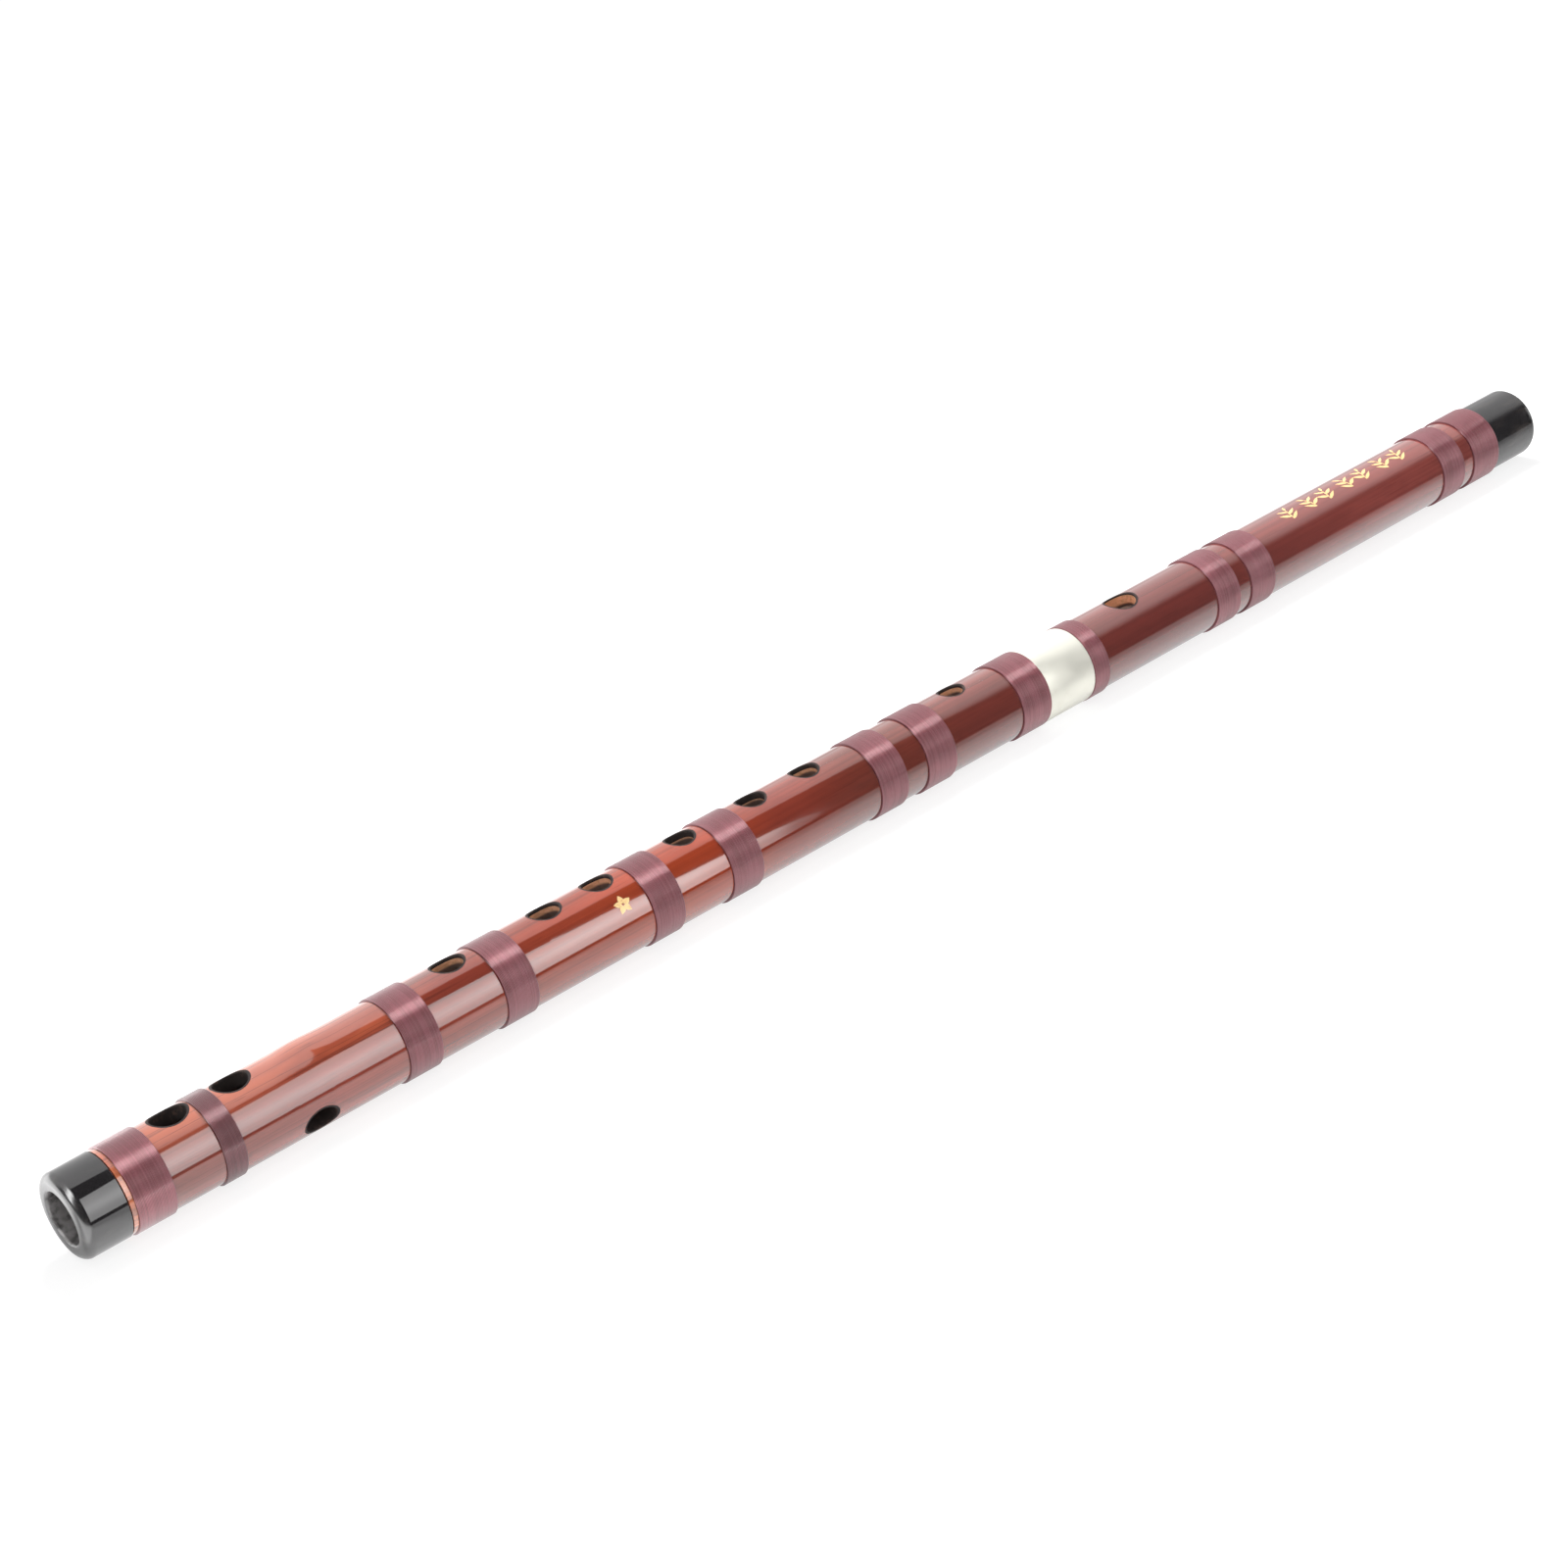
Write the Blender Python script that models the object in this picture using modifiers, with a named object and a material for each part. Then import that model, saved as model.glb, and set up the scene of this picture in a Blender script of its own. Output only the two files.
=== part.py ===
"""Two-section dizi, a transverse bamboo flute, as an assembly of separate pieces.

The flute lies along X with its foot (open) end at -X, its head end at +X and its finger holes
facing +Z. It rests on its thread bindings, and the origin is under the middle of its length.
A station is a distance in metres along the flute from the face where the two sections meet:
the foot section has negative stations and the head section positive ones.
"""

import math
from dataclasses import dataclass

import bmesh
import bpy
from mathutils import Matrix, Vector

# Clearances
SEAT_GAP = 0.0003
SLIDE_CLEARANCE = 0.0003

# Bamboo
BAMBOO_RADIUS = 0.01145
BAMBOO_WALL = 0.00405
FOOT_TAIL_LENGTH = 0.0207
HEAD_BAMBOO_LENGTH = 0.1917

# End caps, each on a spigot turned on the bamboo's end
CAP_SPIGOT_DEPTH = 0.00185
CAP_MOUTH_LIP = 0.0003
CAP_MOUTH_ROUNDING = 0.0009
CAP_FRONT_THICKNESS = 0.0050
FOOT_CAP_LENGTH = 0.0126
FOOT_CAP_PROUD = 0.00025
FOOT_CAP_ROUNDING = 0.0026
HEAD_CAP_LENGTH = 0.0212
HEAD_CAP_SHY = 0.00015
HEAD_CAP_ROUNDING = 0.0020

# Socket and tenon of the joint between the sections
FERRULE_LENGTH = 0.0186
FERRULE_PROUD = 0.00035
FERRULE_WALL = 0.0008
FERRULE_LIP = 0.0009
FERRULE_EDGE = 0.0003
LINER_WALL = 0.0006
TENON_WALL = 0.0007
TENON_REACH = 0.0300
TENON_SEAT = 0.0150

# Holes, each spaced from the one before it, from the joint to the foot
JOINT_TO_EMBOUCHURE = 0.0247
EMBOUCHURE_TO_MEMBRANE = 0.0704
MEMBRANE_TO_FINGER_6 = 0.0573
FINGER_6_TO_FINGER_5 = 0.0198
FINGER_5_TO_FINGER_4 = 0.0256
FINGER_4_TO_FINGER_3 = 0.0291
FINGER_3_TO_FINGER_2 = 0.0176
FINGER_2_TO_FINGER_1 = 0.0317
FINGER_1_TO_SIDE = 0.0503
SIDE_TO_TONE_B = 0.0161
TONE_B_TO_TONE_A = 0.0180

# Hole sizes, length along the flute by width across it
EMBOUCHURE_LENGTH = 0.0098
EMBOUCHURE_WIDTH = 0.0090
MEMBRANE_LENGTH = 0.0073
MEMBRANE_WIDTH = 0.0071
FINGER_6_LENGTH = 0.0077
FINGER_5_LENGTH = 0.0080
FINGER_4_LENGTH = 0.0079
FINGER_3_LENGTH = 0.0082
FINGER_2_LENGTH = 0.0087
FINGER_1_LENGTH = 0.0089
FINGER_WIDTH = 0.0081
SIDE_LENGTH = 0.0093
SIDE_WIDTH = 0.0070
TONE_B_LENGTH = 0.0094
TONE_A_LENGTH = 0.0098
TONE_WIDTH = 0.0087

# Degrees from the line of the finger holes
EMBOUCHURE_TURN = 5.0
SIDE_TURN = 120.0

# Thread bindings, wound in shallow grooves and standing a little proud
BINDING_GROOVE_DEPTH = 0.0006
BINDING_PROUD = 0.00055
BINDING_EDGE = 0.00025
BARE_FOOT_STRIP = 0.0019
BINDING_01_WIDTH = 0.0101
BINDING_02_WIDTH = 0.0054
BINDING_03_WIDTH = 0.0096
BINDING_04_WIDTH = 0.0094
BINDING_05_WIDTH = 0.0094
BINDING_06_WIDTH = 0.0101
BINDING_07_WIDTH = 0.0096
BINDING_08_WIDTH = 0.0104
BINDING_09_WIDTH = 0.0107
BINDING_10_WIDTH = 0.0057
BINDING_11_WIDTH = 0.0093
BINDING_12_WIDTH = 0.0102
BINDING_13_WIDTH = 0.0099
BINDING_14_WIDTH = 0.0120

# From the middle of a binding to the middle of the hole beside it, or to the next binding's edge
BINDING_02_TO_TONE_B = 0.0091
BINDING_03_TO_FINGER_1 = 0.0183
FINGER_1_TO_BINDING_04 = 0.0128
FINGER_3_TO_BINDING_05 = 0.0133
FINGER_4_TO_BINDING_06 = 0.0120
FINGER_6_TO_BINDING_07 = 0.0215
BINDING_08_TO_MEMBRANE = 0.0171
EMBOUCHURE_TO_BINDING_11 = 0.0349
EMBOUCHURE_TO_BINDING_12 = 0.0506
BINDING_13_TO_BINDING_14 = 0.0056

# Cork stopper
STOPPER_FROM_EMBOUCHURE = 0.0093
STOPPER_LENGTH = 0.0140
STOPPER_EDGE = 0.0006

# Facets round each turned piece: the bindings carry the flute, one flat of each underneath
TUBE_SIDES = 40
BINDING_SIDES = 24
HOLE_SIDES = 28
ROUNDING_POINTS = 4
SHARP_ANGLE = math.radians(40)
MERGE_DISTANCE = 0.00001

# Radii that follow from the sizes above
BORE_RADIUS = BAMBOO_RADIUS - BAMBOO_WALL
CAP_SPIGOT_RADIUS = BAMBOO_RADIUS - CAP_SPIGOT_DEPTH
CAP_MOUTH_RADIUS = BORE_RADIUS - CAP_MOUTH_LIP
FOOT_CAP_RADIUS = BAMBOO_RADIUS + FOOT_CAP_PROUD
HEAD_CAP_RADIUS = BAMBOO_RADIUS - HEAD_CAP_SHY
GROOVE_RADIUS = BAMBOO_RADIUS - BINDING_GROOVE_DEPTH
BINDING_INNER = GROOVE_RADIUS + SEAT_GAP
BINDING_OUTER = BAMBOO_RADIUS + BINDING_PROUD
TENON_RADIUS = BORE_RADIUS + TENON_WALL
LINER_BORE = TENON_RADIUS + SLIDE_CLEARANCE
LINER_RADIUS = LINER_BORE + LINER_WALL
SOCKET_RADIUS = LINER_RADIUS + SEAT_GAP
FERRULE_RADIUS = BAMBOO_RADIUS + FERRULE_PROUD
FERRULE_BORE = FERRULE_RADIUS - FERRULE_WALL
FERRULE_SPIGOT_RADIUS = FERRULE_BORE - SEAT_GAP
AXIS_HEIGHT = BINDING_OUTER

# Stations that follow from the sizes above
EMBOUCHURE_STATION = JOINT_TO_EMBOUCHURE
MEMBRANE_STATION = EMBOUCHURE_STATION - EMBOUCHURE_TO_MEMBRANE
FINGER_6_STATION = MEMBRANE_STATION - MEMBRANE_TO_FINGER_6
FINGER_5_STATION = FINGER_6_STATION - FINGER_6_TO_FINGER_5
FINGER_4_STATION = FINGER_5_STATION - FINGER_5_TO_FINGER_4
FINGER_3_STATION = FINGER_4_STATION - FINGER_4_TO_FINGER_3
FINGER_2_STATION = FINGER_3_STATION - FINGER_3_TO_FINGER_2
FINGER_1_STATION = FINGER_2_STATION - FINGER_2_TO_FINGER_1
SIDE_STATION = FINGER_1_STATION - FINGER_1_TO_SIDE
TONE_B_STATION = SIDE_STATION - SIDE_TO_TONE_B
TONE_A_STATION = TONE_B_STATION - TONE_B_TO_TONE_A
FOOT_SHOULDER = TONE_A_STATION - FOOT_TAIL_LENGTH
FOOT_FACE = FOOT_SHOULDER - FOOT_CAP_LENGTH
HEAD_SHOULDER = HEAD_BAMBOO_LENGTH
HEAD_FACE = HEAD_SHOULDER + HEAD_CAP_LENGTH
JOINT_X = -(FOOT_FACE + HEAD_FACE) / 2


@dataclass(frozen=True)
class Hole:
    """An oval hole through the bamboo wall, turned about the flute's axis."""

    name: str
    station: float
    length: float
    width: float
    turn: float = 0.0


@dataclass(frozen=True)
class Binding:
    """A thread binding, by the station of its middle."""

    name: str
    station: float
    width: float


EMBOUCHURE = Hole(
    "embouchure", EMBOUCHURE_STATION, EMBOUCHURE_LENGTH, EMBOUCHURE_WIDTH, EMBOUCHURE_TURN
)

FOOT_HOLES = (
    Hole("membrane_hole", MEMBRANE_STATION, MEMBRANE_LENGTH, MEMBRANE_WIDTH),
    Hole("finger_hole_6", FINGER_6_STATION, FINGER_6_LENGTH, FINGER_WIDTH),
    Hole("finger_hole_5", FINGER_5_STATION, FINGER_5_LENGTH, FINGER_WIDTH),
    Hole("finger_hole_4", FINGER_4_STATION, FINGER_4_LENGTH, FINGER_WIDTH),
    Hole("finger_hole_3", FINGER_3_STATION, FINGER_3_LENGTH, FINGER_WIDTH),
    Hole("finger_hole_2", FINGER_2_STATION, FINGER_2_LENGTH, FINGER_WIDTH),
    Hole("finger_hole_1", FINGER_1_STATION, FINGER_1_LENGTH, FINGER_WIDTH),
    Hole("side_hole_near", SIDE_STATION, SIDE_LENGTH, SIDE_WIDTH, SIDE_TURN),
    Hole("side_hole_far", SIDE_STATION, SIDE_LENGTH, SIDE_WIDTH, -SIDE_TURN),
    Hole("tone_hole_b", TONE_B_STATION, TONE_B_LENGTH, TONE_WIDTH),
    Hole("tone_hole_a", TONE_A_STATION, TONE_A_LENGTH, TONE_WIDTH),
)

FOOT_BINDINGS = (
    Binding("binding_08", MEMBRANE_STATION - BINDING_08_TO_MEMBRANE, BINDING_08_WIDTH),
    Binding("binding_07", FINGER_6_STATION + FINGER_6_TO_BINDING_07, BINDING_07_WIDTH),
    Binding("binding_06", FINGER_4_STATION + FINGER_4_TO_BINDING_06, BINDING_06_WIDTH),
    Binding("binding_05", FINGER_3_STATION + FINGER_3_TO_BINDING_05, BINDING_05_WIDTH),
    Binding("binding_04", FINGER_1_STATION + FINGER_1_TO_BINDING_04, BINDING_04_WIDTH),
    Binding("binding_03", FINGER_1_STATION - BINDING_03_TO_FINGER_1, BINDING_03_WIDTH),
    Binding("binding_02", TONE_B_STATION - BINDING_02_TO_TONE_B, BINDING_02_WIDTH),
)

HEAD_BINDINGS = (
    Binding("binding_12", EMBOUCHURE_STATION + EMBOUCHURE_TO_BINDING_12, BINDING_12_WIDTH),
    Binding("binding_11", EMBOUCHURE_STATION + EMBOUCHURE_TO_BINDING_11, BINDING_11_WIDTH),
)


def binding_span(binding):
    """Lowest and highest station of a binding."""
    return binding.station - binding.width / 2, binding.station + binding.width / 2


def foot_binding_spans():
    """Span of each binding on the foot section, by name, from the joint to the foot."""
    socket_top = -FERRULE_LENGTH - SEAT_GAP
    spans = {"binding_09": (socket_top - BINDING_09_WIDTH, socket_top)}
    for binding in FOOT_BINDINGS:
        spans[binding.name] = binding_span(binding)
    first_low = FOOT_SHOULDER + BARE_FOOT_STRIP
    spans["binding_01"] = (first_low, first_low + BINDING_01_WIDTH)
    return spans


def head_binding_spans():
    """Span of each binding on the head section, by name, from the head cap to the joint."""
    cap_low = HEAD_SHOULDER - BINDING_14_WIDTH
    pair_high = cap_low - BINDING_13_TO_BINDING_14
    spans = {
        "binding_14": (cap_low, HEAD_SHOULDER),
        "binding_13": (pair_high - BINDING_13_WIDTH, pair_high),
    }
    for binding in HEAD_BINDINGS:
        spans[binding.name] = binding_span(binding)
    spans["binding_10"] = (SEAT_GAP, SEAT_GAP + BINDING_10_WIDTH)
    return spans


def clear_scene():
    """Remove every object of the scene that the script starts in."""
    for item in list(bpy.data.objects):
        bpy.data.objects.remove(item, do_unlink=True)


def make_collection(name):
    """New collection under the scene's own."""
    collection = bpy.data.collections.new(name)
    bpy.context.scene.collection.children.link(collection)
    return collection


def make_material(name, colour, roughness, metallic=0.0):
    """Principled material with one colour."""
    material = bpy.data.materials.new(name)
    material.use_nodes = True
    shader = material.node_tree.nodes["Principled BSDF"]
    shader.inputs["Base Color"].default_value = (*colour, 1.0)
    shader.inputs["Roughness"].default_value = roughness
    shader.inputs["Metallic"].default_value = metallic
    return material


def make_empty(name, collection, parent=None, station=0.0):
    """Empty on the flute's axis at a station, for the pieces that move together."""
    empty = bpy.data.objects.new(name, None)
    empty.empty_display_size = BAMBOO_RADIUS
    collection.objects.link(empty)
    if parent is None:
        empty.location = (JOINT_X + station, 0.0, AXIS_HEIGHT)
    else:
        empty.parent = parent
        empty.location = (station, 0.0, 0.0)
    return empty


def arc(centre, radius, start, end):
    """Points (radius, station) along a rounding, between two angles in degrees."""
    points = []
    for index in range(ROUNDING_POINTS + 1):
        angle = math.radians(start + (end - start) * index / ROUNDING_POINTS)
        points.append((centre[0] + radius * math.cos(angle), centre[1] + radius * math.sin(angle)))
    return points


def flat_radius(radius, sides):
    """Corner radius of a regular polygon whose flats lie at the given radius."""
    return radius / math.cos(math.pi / sides)


def turned(name, profile, section, collection, material, sides=TUBE_SIDES):
    """Piece turned about the flute's axis from a profile of (radius, station) points.

    The profile runs from the head end to the foot end on its outer side and back inside.
    A solid piece's profile starts and ends on the axis, and a ring's is closed.
    Half a facet of turn puts a flat, not a corner, straight down.
    """
    half_facet = math.pi / sides
    direction = Vector((math.cos(half_facet), math.sin(half_facet), 0.0))
    outline = bpy.data.meshes.new(name + "_profile")
    points = [direction * radius + Vector((0.0, 0.0, station)) for radius, station in profile]
    edges = [(index, index + 1) for index in range(len(points) - 1)]
    if profile[0][0] > 0.0:
        edges.append((len(points) - 1, 0))
    outline.from_pydata(points, edges, [])
    guide = bpy.data.objects.new(name + "_profile", outline)
    collection.objects.link(guide)
    screw = guide.modifiers.new("turn", "SCREW")
    screw.axis = "Z"
    screw.steps = sides
    screw.render_steps = sides
    screw.use_merge_vertices = True
    screw.merge_threshold = MERGE_DISTANCE
    evaluated = guide.evaluated_get(bpy.context.evaluated_depsgraph_get())
    mesh = bpy.data.meshes.new_from_object(evaluated)
    mesh.name = name
    mesh.shade_smooth()
    mesh.set_sharp_from_angle(angle=SHARP_ANGLE)
    mesh.materials.append(material)
    bpy.data.objects.remove(guide, do_unlink=True)
    bpy.data.meshes.remove(outline)
    piece = bpy.data.objects.new(name, mesh)
    collection.objects.link(piece)
    piece.parent = section
    piece.location = (-section_station(section), 0.0, 0.0)
    piece.rotation_euler = (0.0, math.radians(90), 0.0)
    return piece


def section_station(section):
    """Station of a section's empty, summed along its parents."""
    station = 0.0
    while section.parent is not None:
        station += section.location.x
        section = section.parent
    return station


def grooved_outline(top, bottom, radius, spans):
    """Outer side of a bamboo tube between two stations, with a groove for each binding.

    A groove that reaches past an end of the stretch is open there.
    """
    points = []
    if not any(high + SEAT_GAP >= top for low, high in spans):
        points.append((radius, top))
    for low, high in spans:
        groove_top = min(high + SEAT_GAP, top)
        groove_bottom = max(low - SEAT_GAP, bottom)
        if groove_top < top:
            points.append((radius, groove_top))
        points.append((GROOVE_RADIUS, groove_top))
        points.append((GROOVE_RADIUS, groove_bottom))
        if groove_bottom > bottom:
            points.append((radius, groove_bottom))
    if not any(low - SEAT_GAP <= bottom for low, high in spans):
        points.append((radius, bottom))
    return points


def cut_holes(tube, holes, cutters):
    """Cut oval holes through one wall of a bamboo tube, each with its own hidden cutter."""
    inner = BORE_RADIUS / 2
    outer = BAMBOO_RADIUS * 1.5
    for hole in holes:
        mesh = bpy.data.meshes.new(hole.name + "_cutter")
        shape = bmesh.new()
        bmesh.ops.create_cone(
            shape, cap_ends=True, segments=HOLE_SIDES, radius1=1.0, radius2=1.0, depth=outer - inner
        )
        size = Matrix.Diagonal((hole.length / 2, hole.width / 2, 1.0, 1.0))
        lift = Matrix.Translation((0.0, 0.0, (inner + outer) / 2))
        bmesh.ops.transform(shape, matrix=lift @ size, verts=shape.verts)
        shape.to_mesh(mesh)
        shape.free()
        cutter = bpy.data.objects.new(hole.name + "_cutter", mesh)
        cutters.objects.link(cutter)
        cutter.location = (JOINT_X + hole.station, 0.0, AXIS_HEIGHT)
        cutter.rotation_euler = (math.radians(hole.turn), 0.0, 0.0)
        cutter.hide_render = True
        cutter.display_type = "WIRE"
        cut = tube.modifiers.new(hole.name, "BOOLEAN")
        cut.operation = "DIFFERENCE"
        cut.solver = "EXACT"
        cut.object = cutter


def make_foot_tube(section, parts, cutters, bamboo):
    """Bamboo of the foot section, with its socket, grooves, cap spigot and eleven holes."""
    end_grain = -FERRULE_LIP - SEAT_GAP
    sleeve_end = -FERRULE_LENGTH - SEAT_GAP
    cap_shoulder = FOOT_SHOULDER + SEAT_GAP
    spigot_end = FOOT_FACE + CAP_FRONT_THICKNESS + SEAT_GAP
    socket_floor = -TENON_REACH - SEAT_GAP
    profile = [(FERRULE_SPIGOT_RADIUS, end_grain), (FERRULE_SPIGOT_RADIUS, sleeve_end)]
    spans = list(foot_binding_spans().values())
    profile += grooved_outline(sleeve_end, cap_shoulder, BAMBOO_RADIUS, spans)
    profile += [(CAP_SPIGOT_RADIUS, cap_shoulder), (CAP_SPIGOT_RADIUS, spigot_end)]
    profile += [(BORE_RADIUS, spigot_end), (BORE_RADIUS, socket_floor)]
    profile += [(SOCKET_RADIUS, socket_floor), (SOCKET_RADIUS, end_grain)]
    tube = turned("foot_tube", profile, section, parts, bamboo)
    cut_holes(tube, FOOT_HOLES, cutters)
    return tube


def make_head_tube(section, parts, cutters, bamboo):
    """Bamboo of the head section, with its tenon seat, grooves, cap spigot and embouchure."""
    joint_end = SEAT_GAP
    cap_shoulder = HEAD_SHOULDER
    spigot_end = HEAD_FACE - CAP_FRONT_THICKNESS - SEAT_GAP
    seat_radius = TENON_RADIUS + SEAT_GAP
    seat_floor = TENON_SEAT + SEAT_GAP
    profile = [(CAP_SPIGOT_RADIUS, spigot_end), (CAP_SPIGOT_RADIUS, cap_shoulder)]
    spans = list(head_binding_spans().values())
    profile += grooved_outline(cap_shoulder, joint_end, BAMBOO_RADIUS, spans)
    profile += [(seat_radius, joint_end), (seat_radius, seat_floor)]
    profile += [(BORE_RADIUS, seat_floor), (BORE_RADIUS, spigot_end)]
    tube = turned("head_tube", profile, section, parts, bamboo)
    cut_holes(tube, (EMBOUCHURE,), cutters)
    return tube


def make_bindings(spans, section, parts, thread):
    """Lacquered thread bindings, each a band with eased outer edges in its own groove."""
    inner = flat_radius(BINDING_INNER, BINDING_SIDES)
    outer = flat_radius(BINDING_OUTER, BINDING_SIDES)
    for name, (low, high) in spans.items():
        profile = [
            (inner, high),
            (outer - BINDING_EDGE, high),
            (outer, high - BINDING_EDGE),
            (outer, low + BINDING_EDGE),
            (outer - BINDING_EDGE, low),
            (inner, low),
        ]
        turned(name, profile, section, parts, thread, BINDING_SIDES)


def make_foot_cap(section, parts, horn):
    """Black end cap of the foot: a ring with a rounded rim over the bamboo's spigot."""
    rim = FOOT_FACE + FOOT_CAP_ROUNDING
    socket = CAP_SPIGOT_RADIUS + SEAT_GAP
    floor = FOOT_FACE + CAP_FRONT_THICKNESS
    mouth = CAP_MOUTH_RADIUS + CAP_MOUTH_ROUNDING
    mouth_centre = (mouth, FOOT_FACE + CAP_MOUTH_ROUNDING)
    profile = [(FOOT_CAP_RADIUS, FOOT_SHOULDER)]
    profile += arc((FOOT_CAP_RADIUS - FOOT_CAP_ROUNDING, rim), FOOT_CAP_ROUNDING, 0, -90)
    profile += arc(mouth_centre, CAP_MOUTH_ROUNDING, -90, -180)
    profile += [(CAP_MOUTH_RADIUS, floor), (socket, floor), (socket, FOOT_SHOULDER)]
    return turned("foot_end_cap", profile, section, parts, horn)


def make_head_cap(section, parts, horn):
    """Black end cap of the head, a longer ring of the same make."""
    low = HEAD_SHOULDER + SEAT_GAP
    rim = HEAD_FACE - HEAD_CAP_ROUNDING
    socket = CAP_SPIGOT_RADIUS + SEAT_GAP
    floor = HEAD_FACE - CAP_FRONT_THICKNESS
    mouth = CAP_MOUTH_RADIUS + CAP_MOUTH_ROUNDING
    mouth_centre = (mouth, HEAD_FACE - CAP_MOUTH_ROUNDING)
    profile = [(socket, low), (socket, floor), (CAP_MOUTH_RADIUS, floor)]
    profile += arc(mouth_centre, CAP_MOUTH_ROUNDING, 180, 90)
    profile += arc((HEAD_CAP_RADIUS - HEAD_CAP_ROUNDING, rim), HEAD_CAP_ROUNDING, 90, 0)
    profile += [(HEAD_CAP_RADIUS, low)]
    return turned("head_end_cap", profile, section, parts, horn)


def make_ferrule(section, parts, silver):
    """Silver sleeve round the socket, with a lip that covers the bamboo's end grain."""
    profile = [
        (LINER_BORE, 0.0),
        (FERRULE_RADIUS - FERRULE_EDGE, 0.0),
        (FERRULE_RADIUS, -FERRULE_EDGE),
        (FERRULE_RADIUS, -FERRULE_LENGTH),
        (FERRULE_BORE, -FERRULE_LENGTH),
        (FERRULE_BORE, -FERRULE_LIP),
        (LINER_BORE, -FERRULE_LIP),
    ]
    return turned("socket_ferrule", profile, section, parts, silver)


def make_liner(section, parts, silver):
    """Metal tube that lines the socket, in which the tenon slides and turns."""
    top = -FERRULE_LIP - SEAT_GAP
    profile = [
        (LINER_RADIUS, top),
        (LINER_RADIUS, -TENON_REACH),
        (LINER_BORE, -TENON_REACH),
        (LINER_BORE, top),
    ]
    return turned("socket_liner", profile, section, parts, silver)


def make_tenon(section, parts, silver):
    """Metal tube seated in the head section, whose free end goes into the socket."""
    profile = [
        (TENON_RADIUS, TENON_SEAT),
        (TENON_RADIUS, -TENON_REACH),
        (BORE_RADIUS, -TENON_REACH),
        (BORE_RADIUS, TENON_SEAT),
    ]
    return turned("tenon_tube", profile, section, parts, silver)


def make_stopper(section, parts, cork):
    """Cork that closes the bore just past the embouchure."""
    radius = BORE_RADIUS - SLIDE_CLEARANCE
    low = EMBOUCHURE_STATION + STOPPER_FROM_EMBOUCHURE
    high = low + STOPPER_LENGTH
    stopper = turned(
        "stopper_cork",
        [
            (0.0, high),
            (radius - STOPPER_EDGE, high),
            (radius, high - STOPPER_EDGE),
            (radius, low + STOPPER_EDGE),
            (radius - STOPPER_EDGE, low),
            (0.0, low),
        ],
        section,
        parts,
        cork,
    )
    return stopper


def main():
    """Build the flute, section by section."""
    clear_scene()
    parts = make_collection("dizi")
    cutters = make_collection("cutters")

    bamboo = make_material("lacquered_bamboo", (0.34, 0.065, 0.025), 0.22)
    thread = make_material("lacquered_thread", (0.20, 0.060, 0.075), 0.30)
    horn = make_material("black_horn", (0.012, 0.012, 0.013), 0.18)
    silver = make_material("silver_metal", (0.83, 0.81, 0.76), 0.20, 1.0)
    cork = make_material("cork", (0.55, 0.36, 0.20), 0.85)

    foot_section = make_empty("foot_section", parts)
    tenon_slide = make_empty("tenon_slide", parts, foot_section)
    head_section = make_empty("head_section", parts, tenon_slide)
    stopper_slide = make_empty("stopper_slide", parts, head_section, EMBOUCHURE_STATION)

    make_foot_tube(foot_section, parts, cutters, bamboo)
    make_foot_cap(foot_section, parts, horn)
    make_bindings(foot_binding_spans(), foot_section, parts, thread)
    make_ferrule(foot_section, parts, silver)
    make_liner(foot_section, parts, silver)

    make_tenon(tenon_slide, parts, silver)

    make_head_tube(head_section, parts, cutters, bamboo)
    make_head_cap(head_section, parts, horn)
    make_bindings(head_binding_spans(), head_section, parts, thread)

    make_stopper(stopper_slide, parts, cork)


main()
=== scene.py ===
"""Dresses the two-section dizi that part.py packs, and sets it in a plain pale studio.

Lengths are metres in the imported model's frame: +X from the foot end to the head end, +Z up
through the finger holes, and the floor at z = 0 under the flute. A turn round the flute is in
degrees from straight up, positive towards -Y.
"""

import logging
import math
from dataclasses import dataclass, field
from enum import Enum
from typing import Callable, Optional, Sequence, Union

import bmesh
import bpy
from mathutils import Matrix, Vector


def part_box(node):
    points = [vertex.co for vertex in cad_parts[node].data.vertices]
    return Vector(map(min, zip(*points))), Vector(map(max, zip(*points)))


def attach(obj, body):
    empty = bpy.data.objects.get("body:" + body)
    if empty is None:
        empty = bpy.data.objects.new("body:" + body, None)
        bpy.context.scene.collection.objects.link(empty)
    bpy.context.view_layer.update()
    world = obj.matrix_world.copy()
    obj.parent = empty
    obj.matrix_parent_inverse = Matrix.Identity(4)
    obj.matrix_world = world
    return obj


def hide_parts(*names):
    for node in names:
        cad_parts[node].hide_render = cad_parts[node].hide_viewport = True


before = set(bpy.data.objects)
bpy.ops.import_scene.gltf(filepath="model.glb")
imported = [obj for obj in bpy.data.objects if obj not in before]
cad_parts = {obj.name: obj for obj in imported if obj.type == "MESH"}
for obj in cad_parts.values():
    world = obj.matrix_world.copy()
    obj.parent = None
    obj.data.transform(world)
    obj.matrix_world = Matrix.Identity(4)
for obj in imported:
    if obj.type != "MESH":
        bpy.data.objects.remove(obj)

log = logging.getLogger("dizi")

AXIS_HEIGHT = 0.012
BAMBOO_RADIUS = 0.01145
BORE_RADIUS = 0.0074
GROOVE_RADIUS = 0.01085
CAP_SPIGOT_RADIUS = 0.0096
JOINT_FACE = 0.0658
SEAT_GAP = 0.0003
TURNED_SIDES = 96
SMOOTH_ANGLE = 32.0
SAME_PLACE = 0.000001
UPRIGHT = (math.pi / 2, 0.0, 0.0)
ORIGIN = (0.0, 0.0, 0.0)

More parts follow.
